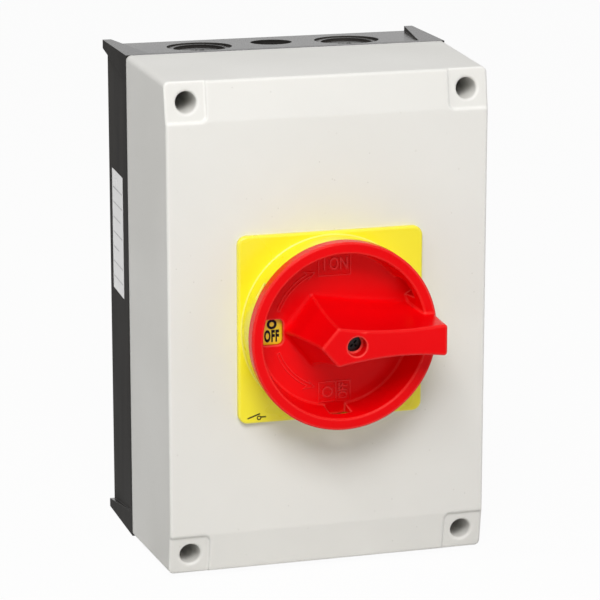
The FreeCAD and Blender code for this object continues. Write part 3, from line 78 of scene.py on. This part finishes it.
def add_lamp(name, place, across, watts, tint):
    """A square area lamp that looks at the switch."""
    lamp = bpy.data.lights.new(name, "AREA")
    lamp.shape = "SQUARE"
    lamp.size = across
    lamp.energy = watts
    lamp.color = tint
    lamp_object = bpy.data.objects.new(name, lamp)
    lamp_object.location = place
    lamp_object.rotation_euler = (aim - Vector(place)).to_track_quat("-Z", "Y").to_euler()
    scene.collection.objects.link(lamp_object)


add_lamp("key_lamp", (-0.33, -1.2, 1.03), 0.65, 17.6, (1, 0.99, 0.97))
add_lamp("edge_lamp", (-0.95, -0.5, 1.25), 0.11, 3, (1, 0.99, 0.97))
add_lamp("fill_lamp", (1.1, -0.9, 0.1), 0.9, 1.5, (0.97, 0.98, 1))


def rays_that_see_white(tree):
    """The output that is 1 for what the camera, a glossy surface or a clear piece sees."""
    rays = tree.nodes.new("ShaderNodeLightPath")
    seen = tree.nodes.new("ShaderNodeMath")
    seen.operation = "MAXIMUM"
    through = tree.nodes.new("ShaderNodeMath")
    through.operation = "MAXIMUM"
    tree.links.new(rays.outputs["Is Camera Ray"], seen.inputs[0])
    tree.links.new(rays.outputs["Is Glossy Ray"], seen.inputs[1])
    tree.links.new(seen.outputs[0], through.inputs[0])
    tree.links.new(rays.outputs["Is Transmission Ray"], through.inputs[1])
    return through.outputs[0]


world = bpy.data.worlds.new("surround")
world.use_nodes = True
scene.world = world
tree = world.node_tree
tree.nodes.clear()
dim = tree.nodes.new("ShaderNodeBackground")
dim.inputs["Color"].default_value = (0.97, 0.965, 0.95, 1)
dim.inputs["Strength"].default_value = 0.24
bright = tree.nodes.new("ShaderNodeBackground")
bright.inputs["Color"].default_value = (1, 1, 1, 1)
bright.inputs["Strength"].default_value = 1
either = tree.nodes.new("ShaderNodeMixShader")
world_out = tree.nodes.new("ShaderNodeOutputWorld")
tree.links.new(rays_that_see_white(tree), either.inputs["Fac"])
tree.links.new(dim.outputs[0], either.inputs[1])
tree.links.new(bright.outputs[0], either.inputs[2])
tree.links.new(either.outputs[0], world_out.inputs["Surface"])

floor_reach = 4
floor_gap = 0.0005
floor_glow = 0.96
floor_mesh = bpy.data.meshes.new("floor")
shape = bmesh.new()
bmesh.ops.create_grid(shape, x_segments=1, y_segments=1, size=floor_reach)
shape.to_mesh(floor_mesh)
shape.free()
floor = bpy.data.objects.new("floor", floor_mesh)
floor.location = (0, 0, cad_box[0][2] - floor_gap)
scene.collection.objects.link(floor)
floor_paint = bpy.data.materials.new("floor_paint")
floor_paint.use_nodes = True
tree = floor_paint.node_tree
tree.nodes.clear()
matt = tree.nodes.new("ShaderNodeBsdfDiffuse")
matt.inputs["Color"].default_value = (0.7, 0.7, 0.69, 1)
glow = tree.nodes.new("ShaderNodeEmission")
glow.inputs["Color"].default_value = (1, 1, 1, 1)
glow.inputs["Strength"].default_value = 1
share = tree.nodes.new("ShaderNodeMath")
share.operation = "MULTIPLY"
share.inputs[1].default_value = floor_glow
blend = tree.nodes.new("ShaderNodeMixShader")
floor_out = tree.nodes.new("ShaderNodeOutputMaterial")
tree.links.new(rays_that_see_white(tree), share.inputs[0])
tree.links.new(share.outputs[0], blend.inputs["Fac"])
tree.links.new(matt.outputs[0], blend.inputs[1])
tree.links.new(glow.outputs[0], blend.inputs[2])
tree.links.new(blend.outputs[0], floor_out.inputs["Surface"])
floor_mesh.materials.append(floor_paint)

# Rear housing: black thermoplastic, screwed to the wall. A spark-eroded mould leaves a fine matt
# grain, and the flow of the melt shows as faint pale streaks. The two end walls are smoother than
# the sides, and their knock-outs carry the thread sizes of the cable glands in raised characters.
moulded_finish = bpy.data.node_groups.new("moulded_finish", "ShaderNodeTree")
sockets = moulded_finish.interface
for name, value in (
    ("Grain Scale", 2500),
    ("Cloud Scale", 18),
    ("Streak Scale", 40),
    ("Streak Length", 0.12),
    ("Edge Radius", 0.001),
):
    sockets.new_socket(name, in_out="INPUT", socket_type="NodeSocketFloat").default_value = value
for name in ("Grain", "Clouds", "Streaks", "Specks", "Edges"):
    sockets.new_socket(name, in_out="OUTPUT", socket_type="NodeSocketFloat")
sockets.new_socket("Soft Normal", in_out="OUTPUT", socket_type="NodeSocketVector")
part = moulded_finish.nodes
wire = moulded_finish.links.new
group_in = part.new("NodeGroupInput")
group_out = part.new("NodeGroupOutput")
place = part.new("ShaderNodeTexCoord")
grain = part.new("ShaderNodeTexNoise")
grain.inputs["Detail"].default_value = 2
grain.inputs["Roughness"].default_value = 0.6
clouds = part.new("ShaderNodeTexNoise")
clouds.inputs["Detail"].default_value = 4
along = part.new("ShaderNodeCombineXYZ")
along.inputs["X"].default_value = 1
along.inputs["Y"].default_value = 1
stretch = part.new("ShaderNodeVectorMath")
stretch.operation = "MULTIPLY"
streaks = part.new("ShaderNodeTexNoise")
streaks.inputs["Detail"].default_value = 5
streaks.inputs["Distortion"].default_value = 0.6
specks = part.new("ShaderNodeTexVoronoi")
specks.inputs["Scale"].default_value = 160
speck_size = part.new("ShaderNodeMapRange")
speck_size.inputs["From Min"].default_value = 0.03
speck_size.inputs["From Max"].default_value = 0.06
speck_size.inputs["To Min"].default_value = 1
speck_size.inputs["To Max"].default_value = 0
# Edge mask: it rises where the bevel's soft normal turns away from the face's normal, at edges and
# creases. The materials use it to mix a painted highlight into their colour; the soft normal itself
# only rounds the shading.
soft_edge = part.new("ShaderNodeBevel")
soft_edge.samples = 6
surface = part.new("ShaderNodeNewGeometry")
bend = part.new("ShaderNodeVectorMath")
bend.operation = "DOT_PRODUCT"
edge_highlight_span = part.new("ShaderNodeMapRange")
edge_highlight_span.inputs["From Min"].default_value = 0.99
edge_highlight_span.inputs["From Max"].default_value = 0.92
wire(group_in.outputs["Edge Radius"], soft_edge.inputs["Radius"])
wire(soft_edge.outputs["Normal"], bend.inputs[0])
wire(surface.outputs["Normal"], bend.inputs[1])
wire(bend.outputs["Value"], edge_highlight_span.inputs["Value"])
wire(edge_highlight_span.outputs["Result"], group_out.inputs["Edges"])
wire(soft_edge.outputs["Normal"], group_out.inputs["Soft Normal"])
wire(place.outputs["Object"], grain.inputs["Vector"])
wire(place.outputs["Object"], clouds.inputs["Vector"])
wire(place.outputs["Object"], specks.inputs["Vector"])
wire(place.outputs["Object"], stretch.inputs[0])
wire(group_in.outputs["Streak Length"], along.inputs["Z"])
wire(along.outputs[0], stretch.inputs[1])
wire(stretch.outputs[0], streaks.inputs["Vector"])
wire(group_in.outputs["Grain Scale"], grain.inputs["Scale"])
wire(group_in.outputs["Cloud Scale"], clouds.inputs["Scale"])
wire(group_in.outputs["Streak Scale"], streaks.inputs["Scale"])
wire(specks.outputs["Distance"], speck_size.inputs["Value"])
wire(grain.outputs["Fac"], group_out.inputs["Grain"])
wire(clouds.outputs["Fac"], group_out.inputs["Clouds"])
wire(streaks.outputs["Fac"], group_out.inputs["Streaks"])
wire(speck_size.outputs["Result"], group_out.inputs["Specks"])


def moulded_plastic(
    name, colour, shade, roughness, grain_depth, shine=0.5, shine_tint=(1, 1, 1), pattern="Clouds",
    spread=(0.35, 0.7), grain_scale=2500, speck=None, edge_radius=0, edge_highlight_colour=None,
):
    """A moulded plastic: two close colours in clouds or streaks, a roughness range, a fine grain,
    and on request small dark specks, and soft edges painted with a paler highlight colour."""
    plastic = bpy.data.materials.new(name)
    plastic.use_nodes = True
    tree = plastic.node_tree
    bsdf = tree.nodes["Principled BSDF"]
    bsdf.inputs["Specular IOR Level"].default_value = shine
    bsdf.inputs["Specular Tint"].default_value = (*shine_tint, 1)
    finish = tree.nodes.new("ShaderNodeGroup")
    finish.node_tree = moulded_finish
    finish.inputs["Grain Scale"].default_value = grain_scale
    tint = tree.nodes.new("ShaderNodeMix")
    tint.data_type = "RGBA"
    tint.inputs["A"].default_value = (*colour, 1)
    tint.inputs["B"].default_value = (*shade, 1)
    window = tree.nodes.new("ShaderNodeMapRange")
    window.inputs["From Min"].default_value = spread[0]
    window.inputs["From Max"].default_value = spread[1]
    gloss = tree.nodes.new("ShaderNodeMapRange")
    gloss.name = "gloss"
    gloss.inputs["From Min"].default_value = 0.3
    gloss.inputs["From Max"].default_value = 0.7
    gloss.inputs["To Min"].default_value = roughness[0]
    gloss.inputs["To Max"].default_value = roughness[1]
    bump = tree.nodes.new("ShaderNodeBump")
    bump.inputs["Strength"].default_value = 0.5
    bump.inputs["Distance"].default_value = grain_depth
    tree.links.new(finish.outputs[pattern], window.inputs["Value"])
    tree.links.new(window.outputs["Result"], tint.inputs["Factor"])
    skin = tint.outputs["Result"]
    tree.links.new(finish.outputs["Clouds"], gloss.inputs["Value"])
    tree.links.new(gloss.outputs["Result"], bsdf.inputs["Roughness"])
    tree.links.new(finish.outputs["Grain"], bump.inputs["Height"])
    tree.links.new(bump.outputs["Normal"], bsdf.inputs["Normal"])
    if speck:
        fleck = tree.nodes.new("ShaderNodeMix")
        fleck.data_type = "RGBA"
        fleck.inputs["B"].default_value = (*speck, 1)
        tree.links.new(finish.outputs["Specks"], fleck.inputs["Factor"])
        tree.links.new(skin, fleck.inputs["A"])
        skin = fleck.outputs["Result"]
    # Soft edges: the bevel's normal rounds the edges' shading, and the group's edge mask mixes a
    # painted highlight colour into the skin along them.
    if edge_radius:
        finish.inputs["Edge Radius"].default_value = edge_radius
        tree.links.new(finish.outputs["Soft Normal"], bump.inputs["Normal"])
        painted_edge_highlight = tree.nodes.new("ShaderNodeMix")
        painted_edge_highlight.data_type = "RGBA"
        painted_edge_highlight.inputs["B"].default_value = (*edge_highlight_colour, 1)
        tree.links.new(finish.outputs["Edges"], painted_edge_highlight.inputs["Factor"])
        tree.links.new(skin, painted_edge_highlight.inputs["A"])
        skin = painted_edge_highlight.outputs["Result"]
    tree.links.new(skin, bsdf.inputs["Base Color"])
    return plastic


def dress(node, material):
    """Gives a CAD node its finish."""
    nodes[node].data.materials.clear()
    nodes[node].data.materials.append(material)


# The housing's edges carry a slight painted highlight, a little paler than the black.
housing_black = moulded_plastic(
    "housing_black", (0.011, 0.0098, 0.009), (0.03, 0.027, 0.024), (0.9, 1), 0.00008, shine=0.35,
    pattern="Streaks", spread=(0.42, 0.72), grain_scale=1800,
    edge_radius=0.0003, edge_highlight_colour=(0.05, 0.046, 0.043),
)
end_wall_roughness = 0.27  # the walls that face up and down come off polished parts of the mould
tree = housing_black.node_tree
facing = tree.nodes.new("ShaderNodeNewGeometry")
upward = tree.nodes.new("ShaderNodeSeparateXYZ")
either_end = tree.nodes.new("ShaderNodeMath")
either_end.operation = "ABSOLUTE"
end_wall = tree.nodes.new("ShaderNodeMapRange")
end_wall.inputs["From Min"].default_value = 0.8
end_wall.inputs["From Max"].default_value = 0.95
smoother = tree.nodes.new("ShaderNodeMix")
smoother.inputs["B"].default_value = end_wall_roughness
tree.links.new(facing.outputs["Normal"], upward.inputs[0])
tree.links.new(upward.outputs["Z"], either_end.inputs[0])
tree.links.new(either_end.outputs[0], end_wall.inputs["Value"])
tree.links.new(end_wall.outputs["Result"], smoother.inputs["Factor"])
tree.links.new(tree.nodes["gloss"].outputs["Result"], smoother.inputs["A"])
tree.links.new(smoother.outputs["Result"], tree.nodes["Principled BSDF"].inputs["Roughness"])
dress("rear_housing", housing_black)


def raised_word(
    name, text, place, turn, size, width_share, boldness, height, material, body, spacing=1,
):
    """A word whose middle lies at a place on a face, standing a small height above it."""
    curve = bpy.data.curves.new(name, "FONT")
    curve.body = text
    curve.align_x = "CENTER"
    curve.align_y = "CENTER"
    curve.size = size
    curve.space_character = spacing
    curve.offset = boldness
    curve.extrude = height
    curve.resolution_u = 6
    curve.materials.append(material)
    word = bpy.data.objects.new(name, curve)
    word.scale = (width_share, 1, 1)
    word.rotation_euler = turn
    word.location = place
    scene.collection.objects.link(word)
    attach(word, body)


knockout_face = 0.11635
entry_text_size = 0.0037
entry_text_share = 0.85
entry_text_boldness = 0.00006
entry_text_height = 0.00022
for wall, height, turn in (
    ("top", knockout_face, (0, 0, math.radians(180))),
    ("bottom", -knockout_face, (math.radians(180), 0, 0)),
):
    for position, text, across, depth in (
        ("left_back", "M 32", -0.0375, 0.0228),
        ("left_front", "M 25", -0.0375, 0.0268),
        ("right_back", "M 32", 0.0375, 0.0228),
        ("right_front", "M 25", 0.0375, 0.0268),
        ("middle", "M 20", 0, 0.021),
    ):
        raised_word(
            f"entry_size_{wall}_{position}", text, (across, -depth, height), turn,
            entry_text_size, entry_text_share, entry_text_boldness, entry_text_height,
            housing_black, "enclosure",
        )

# Side label: a blank white film label with plain ruled lines, stuck on the housing's left wall,
# which leans in by 0.038 mm for each millimetre of depth.
label_depth = (0.0078, 0.0345)
label_height = (-0.003, 0.0575)
label_thickness = 0.00012
line_half_width = 0.00025
print_thickness = 0.00002
wall_start = -0.0776
wall_lean = -0.038


def sheet_on_side(name, depths, heights, lift, thickness, material):
    """A thin four-sided sheet that lies against the housing's left wall."""
    back, front = depths
    low, high = heights
    mesh = bpy.data.meshes.new(name)
    shape = bmesh.new()
    rings = []
    for away in (lift, lift + thickness):
        rings.append([
            shape.verts.new((wall_start + wall_lean * depth - away, -depth, height))
            for depth, height in ((back, low), (front, low), (front, high), (back, high))
        ])
    shape.faces.new(rings[1])
    for step in range(4):
        after = (step + 1) % 4
        shape.faces.new((rings[0][step], rings[0][after], rings[1][after], rings[1][step]))
    bmesh.ops.recalc_face_normals(shape, faces=shape.faces)
    shape.to_mesh(mesh)
    shape.free()
    mesh.materials.append(material)
    sheet = bpy.data.objects.new(name, mesh)
    scene.collection.objects.link(sheet)
    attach(sheet, "enclosure")


label_film = moulded_plastic(
    "label_film", (0.93, 0.93, 0.94), (0.9, 0.9, 0.91), (0.22, 0.3), 0.00001, shine=0.6
)
label_ink = moulded_plastic(
    "label_ink", (0.3, 0.3, 0.31), (0.36, 0.36, 0.37), (0.4, 0.5), 0.00001, shine=0.4
)
sheet_on_side("side_label", label_depth, label_height, 0, label_thickness, label_film)
line_start = 0.0098
for row, (height, line_end) in enumerate((
    (0.0485, 0.0325),
    (0.041, 0.0325),
    (0.0335, 0.028),
    (0.026, 0.0325),
    (0.0185, 0.024),
    (0.011, 0.0325),
    (0.0035, 0.0325),
), start=1):
    sheet_on_side(
        f"side_label_line_{row}", (line_start, line_end),
        (height - line_half_width, height + line_half_width),
        label_thickness, print_thickness, label_ink,
    )

# Front cover: light grey thermoplastic with a fine matt skin and a few specks, moulded in one
# piece with its edges softly rounded, and held by four long screws in the corner wells.
# The cover's edges and the rims of its pads and wells carry a painted highlight in near white.
cover_grey = moulded_plastic(
    "cover_grey", (0.78, 0.775, 0.75), (0.76, 0.755, 0.73), (0.42, 0.52), 0.00004, shine=0.4,
    grain_scale=1500, speck=(0.62, 0.61, 0.58),
    edge_radius=0.0022, edge_highlight_colour=(0.93, 0.925, 0.905),
)
dress("front_cover", cover_grey)

# Gaskets and seals: black nitrile rubber, dull and slightly dusty. One gasket lies in the groove
# under the cover, one lies behind the yellow plate, and a ring seals the handle's hub.
seal_rubber = moulded_plastic(
    "seal_rubber", (0.012, 0.012, 0.012), (0.03, 0.03, 0.03), (0.7, 0.85), 0.00008
)
for node in ("cover_gasket", "escutcheon_gasket", "hub_seal"):
    dress(node, seal_rubber)

# Escutcheon: signal yellow plastic plate with a collar that shields the padlock slots. Its disc
# under the dish is printed in black with O and OFF where the window stands now, and with I and ON
# where it stands after a quarter turn. The plate's lower left corner has the printed isolator sign.
# The plate's and collar's edges carry a painted highlight in pale yellow.
escutcheon_yellow = moulded_plastic(
    "escutcheon_yellow", (0.92, 0.82, 0.02), (0.9, 0.79, 0.016), (0.24, 0.34), 0.00003, shine=0.5,
    edge_radius=0.0014, edge_highlight_colour=(1, 0.95, 0.25),
)
dress("escutcheon_plate", escutcheon_yellow)
print_black = moulded_plastic(
    "print_black", (0.008, 0.008, 0.008), (0.012, 0.012, 0.012), (0.4, 0.5), 0.00001, shine=0.1
)
plate_thickness = 0.003
dial_height = 0.0031
plate_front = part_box("front_cover")[0][1] - plate_thickness
dial_front = plate_front - dial_height
ink_height = 0.00006
letter_spacing = 1.16
face_forward = (math.radians(90), 0, 0)


def ring_mark(name, x, z, inner, outer, depth, height, material, body, count=48):
    """A flat ring with a small height on a face that looks forward."""
    mesh = bpy.data.meshes.new(name)
    shape = bmesh.new()
    loops = []
    top = depth - height
    for radius, y in ((inner, depth), (inner, top), (outer, top), (outer, depth)):
        loops.append([
            shape.verts.new((
                x + radius * math.cos(2 * math.pi * step / count), y,
                z + radius * math.sin(2 * math.pi * step / count),
            ))
            for step in range(count)
        ])
    for near, far in zip(loops, loops[1:]):
        for step in range(count):
            after = (step + 1) % count
            shape.faces.new((near[step], near[after], far[after], far[step]))
    bmesh.ops.recalc_face_normals(shape, faces=shape.faces)
    shape.to_mesh(mesh)
    shape.free()
    mesh.materials.append(material)
    ring = bpy.data.objects.new(name, mesh)
    scene.collection.objects.link(ring)
    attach(ring, body)


def ridge(name, path, width, height, depth, closed, material, body):
    """A fine line along a path of x and z, standing a small height on a face that looks forward."""
    mitre_limit = 0.4
    mesh = bpy.data.meshes.new(name)
    shape = bmesh.new()
    sections = []
    points = [Vector(point) for point in path]
    for index, point in enumerate(points):
        before = points[index - 1] if closed or index else point
        after = points[(index + 1) % len(points)] if closed or index + 1 < len(points) else point
        into = (point - before).normalized() if before != point else (after - point).normalized()
        out = (after - point).normalized() if after != point else into
        side_in = Vector((-into.y, into.x))
        side_out = Vector((-out.y, out.x))
        mitre = (side_in + side_out).normalized()
        mitre *= width / max(mitre.dot(side_in), mitre_limit)
        sections.append([
            shape.verts.new((point.x + mitre.x * share, depth - rise, point.y + mitre.y * share))
            for share, rise in ((0.5, 0), (0.3, height), (-0.3, height), (-0.5, 0))
        ])
    following = sections[1:] + sections[:1] if closed else sections[1:]
    for near, far in zip(sections, following):
        for edge in range(3):
            shape.faces.new((near[edge], near[edge + 1], far[edge + 1], far[edge]))
    if not closed:
        shape.faces.new(sections[0])
        shape.faces.new(sections[-1])
    bmesh.ops.recalc_face_normals(shape, faces=shape.faces)
    shape.to_mesh(mesh)
    shape.free()
    mesh.materials.append(material)
    line = bpy.data.objects.new(name, mesh)
    scene.collection.objects.link(line)
    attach(line, body)


for name, text, x, z, size, width_share, boldness in (
    ("off_word_mark", "OFF", -0.0299, -0.0026, 0.0074, 0.5, 0.0004),
    ("on_bar_mark", "I", 0, 0.0337, 0.0058, 0.9, 0.0004),
    ("on_word_mark", "ON", 0, 0.0278, 0.0074, 0.56, 0.0004),
):
    raised_word(
        name, text, (x, dial_front, z), face_forward, size, width_share, boldness, ink_height,
        print_black, "enclosure", letter_spacing,
    )
for name, x, z, inner, outer, face in (
    ("off_ring_mark", -0.0298, 0.0033, 0.00113, 0.0024, dial_front),
    ("sign_contact_ring", -0.0352, -0.0424, 0.0006, 0.0011, plate_front),
):
    ring_mark(
        name, x, z, inner, outer, face, ink_height, print_black, "enclosure"
    )
sign_line_width = 0.0007
for name, path in (
    ("sign_blade", ((-0.0408, -0.0425), (-0.0347, -0.0404))),
    ("sign_lead", ((-0.0342, -0.0421), (-0.0318, -0.0421))),
):
    ridge(
        name, path, sign_line_width, ink_height, plate_front, False,
        print_black, "enclosure",
    )

# Handle: signal red plastic, dish and grip in one moulding. Fine raised lines on the dish's floor
# frame the words for the two positions, and two outlined arrows show the way each turn goes.
# The grip's and dish's edges carry a painted highlight in a paler red.
handle_red = moulded_plastic(
    "handle_red", (0.84, 0.0005, 0.003), (0.8, 0.0005, 0.0025), (0.2, 0.28), 0.00002, shine=0.22,
    shine_tint=(1, 0.4, 0.4), grain_scale=1800, edge_radius=0.0016, edge_highlight_colour=(1, 0.09, 0.075),
)
dress("handle_grip", handle_red)
# The raised lines and words are a little paler and shinier than the handle's red. The paler colour
# is a painted highlight that lets them stand out.
relief_red_painted_highlight = moulded_plastic(
    "relief_red_painted_highlight", (0.88, 0.004, 0.006), (0.84, 0.004, 0.006), (0.2, 0.28), 0, shine=0.6,
    shine_tint=(1, 0.5, 0.5),
)
dish_gap = 0.0004
dish_floor = 0.0025
floor_front = dial_front - dish_gap - dish_floor
line_width = 0.0006
line_height = 0.0005
relief_share = 0.72
relief_boldness = 0.0001
arrow_inner = 0.0285
arrow_outer = 0.03


def arc(radius, start, end, count=24):
    """Points along an arc around the axis, from one angle to another in degrees."""
    angles = [math.radians(start + (end - start) * step / count) for step in range(count + 1)]
    return [(radius * math.cos(angle), radius * math.sin(angle)) for angle in angles]


for name, closed, path in (
    ("on_frame", False, (
        (-0.008, 0.0358), (-0.008, 0.0256), (0.0075, 0.0256), (0.0075, 0.0358),
    )),
    ("off_frame", True, (
        (-0.0079, -0.0256), (0.0075, -0.0256), (0.0075, -0.0352), (-0.0079, -0.0352),
    )),
    ("off_frame_bar", False, ((0.0005, -0.0256), (0.0005, -0.0352))),
):
    ridge(
        name, path, line_width, line_height, floor_front, closed,
        relief_red_painted_highlight, "handle",
    )
for name, text, x, z, size, turn in (
    ("on_relief_bar", "I", -0.0052, 0.0308, 0.0082, 0),
    ("on_relief_word", "ON", 0.0018, 0.0308, 0.0082, 0),
    ("off_relief_word", "OFF", 0.0041, -0.0304, 0.0062, 90),
):
    raised_word(
        name, text, (x, floor_front, z), (math.radians(90), math.radians(-turn), 0),
        size, relief_share, relief_boldness, line_height, relief_red_painted_highlight, "handle",
    )
ring_mark(
    "off_relief_ring", -0.0037, -0.0305, 0.0019, 0.0026, floor_front, line_height,
    relief_red_painted_highlight, "handle",
)
arrow_head = [(-0.0131, 0.0239), (-0.01, 0.0275), (-0.0153, 0.0281)]
outline = arc(arrow_inner, 160, 115) + arrow_head + arc(arrow_outer, 117, 160)
for name, side in (("on_arrow", 1), ("off_arrow", -1)):
    ridge(
        name, [(x, side * z) for x, z in outline], line_width, line_height, floor_front, True,
        relief_red_painted_highlight, "handle",
    )

# Steel pieces: cut and bent from rolled stock, then zinc plated, which leaves cloudy patches over
# fine lines that all run one way. They are the plate, ring, clamps, crank pin and shaft inside.
plated_finish = bpy.data.node_groups.new("plated_finish", "ShaderNodeTree")
sockets = plated_finish.interface
sockets.new_socket("Line Scale", in_out="INPUT", socket_type="NodeSocketFloat").default_value = 900
sockets.new_socket("Patches", in_out="OUTPUT", socket_type="NodeSocketFloat")
sockets.new_socket("Lines", in_out="OUTPUT", socket_type="NodeSocketFloat")
part = plated_finish.nodes
wire = plated_finish.links.new
group_in = part.new("NodeGroupInput")
group_out = part.new("NodeGroupOutput")
place = part.new("ShaderNodeTexCoord")
patches = part.new("ShaderNodeTexVoronoi")
patches.inputs["Scale"].default_value = 350
patches.inputs["Randomness"].default_value = 1
stretch = part.new("ShaderNodeMapping")
stretch.inputs["Scale"].default_value = (1, 1, 0.03)
lines = part.new("ShaderNodeTexNoise")
lines.inputs["Detail"].default_value = 3
wire(place.outputs["Object"], patches.inputs["Vector"])
wire(place.outputs["Object"], stretch.inputs["Vector"])
wire(stretch.outputs[0], lines.inputs["Vector"])
wire(group_in.outputs["Line Scale"], lines.inputs["Scale"])
wire(patches.outputs["Distance"], group_out.inputs["Patches"])
wire(lines.outputs["Fac"], group_out.inputs["Lines"])


def plain_metal(name, colour, shade, roughness, line_depth):
    """A metal with cloudy plating: two close colours, a roughness range and fine lines."""
    metal = bpy.data.materials.new(name)
    metal.use_nodes = True
    tree = metal.node_tree
    bsdf = tree.nodes["Principled BSDF"]
    bsdf.inputs["Metallic"].default_value = 1
    finish = tree.nodes.new("ShaderNodeGroup")
    finish.node_tree = plated_finish
    tint = tree.nodes.new("ShaderNodeMix")
    tint.data_type = "RGBA"
    tint.inputs["A"].default_value = (*colour, 1)
    tint.inputs["B"].default_value = (*shade, 1)
    gloss = tree.nodes.new("ShaderNodeMapRange")
    gloss.inputs["To Min"].default_value = roughness[0]
    gloss.inputs["To Max"].default_value = roughness[1]
    bump = tree.nodes.new("ShaderNodeBump")
    bump.inputs["Strength"].default_value = 0.4
    bump.inputs["Distance"].default_value = line_depth
    tree.links.new(finish.outputs["Patches"], tint.inputs["Factor"])
    tree.links.new(tint.outputs["Result"], bsdf.inputs["Base Color"])
    tree.links.new(finish.outputs["Lines"], gloss.inputs["Value"])
    tree.links.new(gloss.outputs["Result"], bsdf.inputs["Roughness"])
    tree.links.new(finish.outputs["Lines"], bump.inputs["Height"])
    tree.links.new(bump.outputs["Normal"], bsdf.inputs["Normal"])
    return metal


plated_steel = plain_metal(
    "plated_steel", (0.62, 0.62, 0.6), (0.5, 0.51, 0.5), (0.25, 0.45), 0.00002
)
for node in ("mounting_plate", "retaining_ring", "terminal_clamps", "crank_pin", "drive_shaft"):
    dress(node, plated_steel)

# Screws: zinc plated steel with cross recesses, bright from the heading tool. They hold the cover,
# the yellow plate, the mounting plate, the earth bar, the switch block and its wires.
screw_steel = plain_metal(
    "screw_steel", (0.66, 0.66, 0.64), (0.56, 0.56, 0.55), (0.2, 0.38), 0.00001
)
for node in (
    "cover_screws", "escutcheon_screws", "mounting_plate_screws", "earth_bar_screws",
    "switch_housing_screws", "switch_fixing_screws", "terminal_screws",
):
    dress(node, screw_steel)

# Handle screw: steel with a black oxide finish. It sits deep in the well at the grip's middle
# and pulls the handle onto the shaft coupler.
dark_screw = plain_metal(
    "dark_screw", (0.03, 0.026, 0.026), (0.018, 0.015, 0.015), (0.16, 0.26), 0.00001
)
dress("handle_screw", dark_screw)

# Contacts, earth bar and springs: stamped copper alloy contacts, a bar of plain brass, and bright
# spring steel, which presses on the contacts and holds the crank disc at its four notches.
contact_metal = plain_metal(
    "contact_metal", (0.8, 0.6, 0.42), (0.7, 0.5, 0.34), (0.25, 0.4), 0.00001
)
brass_metal = plain_metal(
    "brass_metal", (0.75, 0.56, 0.26), (0.64, 0.46, 0.2), (0.22, 0.4), 0.00001
)
spring_steel = plain_metal(
    "spring_steel", (0.55, 0.55, 0.57), (0.45, 0.45, 0.47), (0.2, 0.32), 0.00001
)
dress("earth_bar", brass_metal)
for pole in range(1, 5):
    dress(f"line_contact_{pole}", contact_metal)
    dress(f"load_contact_{pole}", contact_metal)
    dress(f"moving_contact_{pole}", contact_metal)
    dress(f"contact_spring_{pole}", spring_steel)
for node in ("index_spring_upper", "index_spring_lower"):
    dress(node, spring_steel)

# Switch block: two dark grey thermoset halves, screwed together around a white nylon crank disc
# and a brown contact carriage. A grey plastic coupler joins the handle's hub to the shaft.
switch_thermoset = moulded_plastic(
    "switch_thermoset", (0.075, 0.075, 0.08), (0.055, 0.055, 0.06), (0.4, 0.55), 0.00005
)
dress("switch_base", switch_thermoset)
dress("switch_top", switch_thermoset)
crank_nylon = moulded_plastic(
    "crank_nylon", (0.74, 0.72, 0.66), (0.68, 0.66, 0.6), (0.35, 0.5), 0.00003
)
dress("crank_disc", crank_nylon)
carriage_thermoset = moulded_plastic(
    "carriage_thermoset", (0.16, 0.05, 0.035), (0.12, 0.035, 0.025), (0.4, 0.55), 0.00005
)
dress("contact_carriage", carriage_thermoset)
coupler_plastic = moulded_plastic(
    "coupler_plastic", (0.3, 0.3, 0.29), (0.24, 0.24, 0.23), (0.45, 0.6), 0.00006
)
dress("shaft_coupler", coupler_plastic)
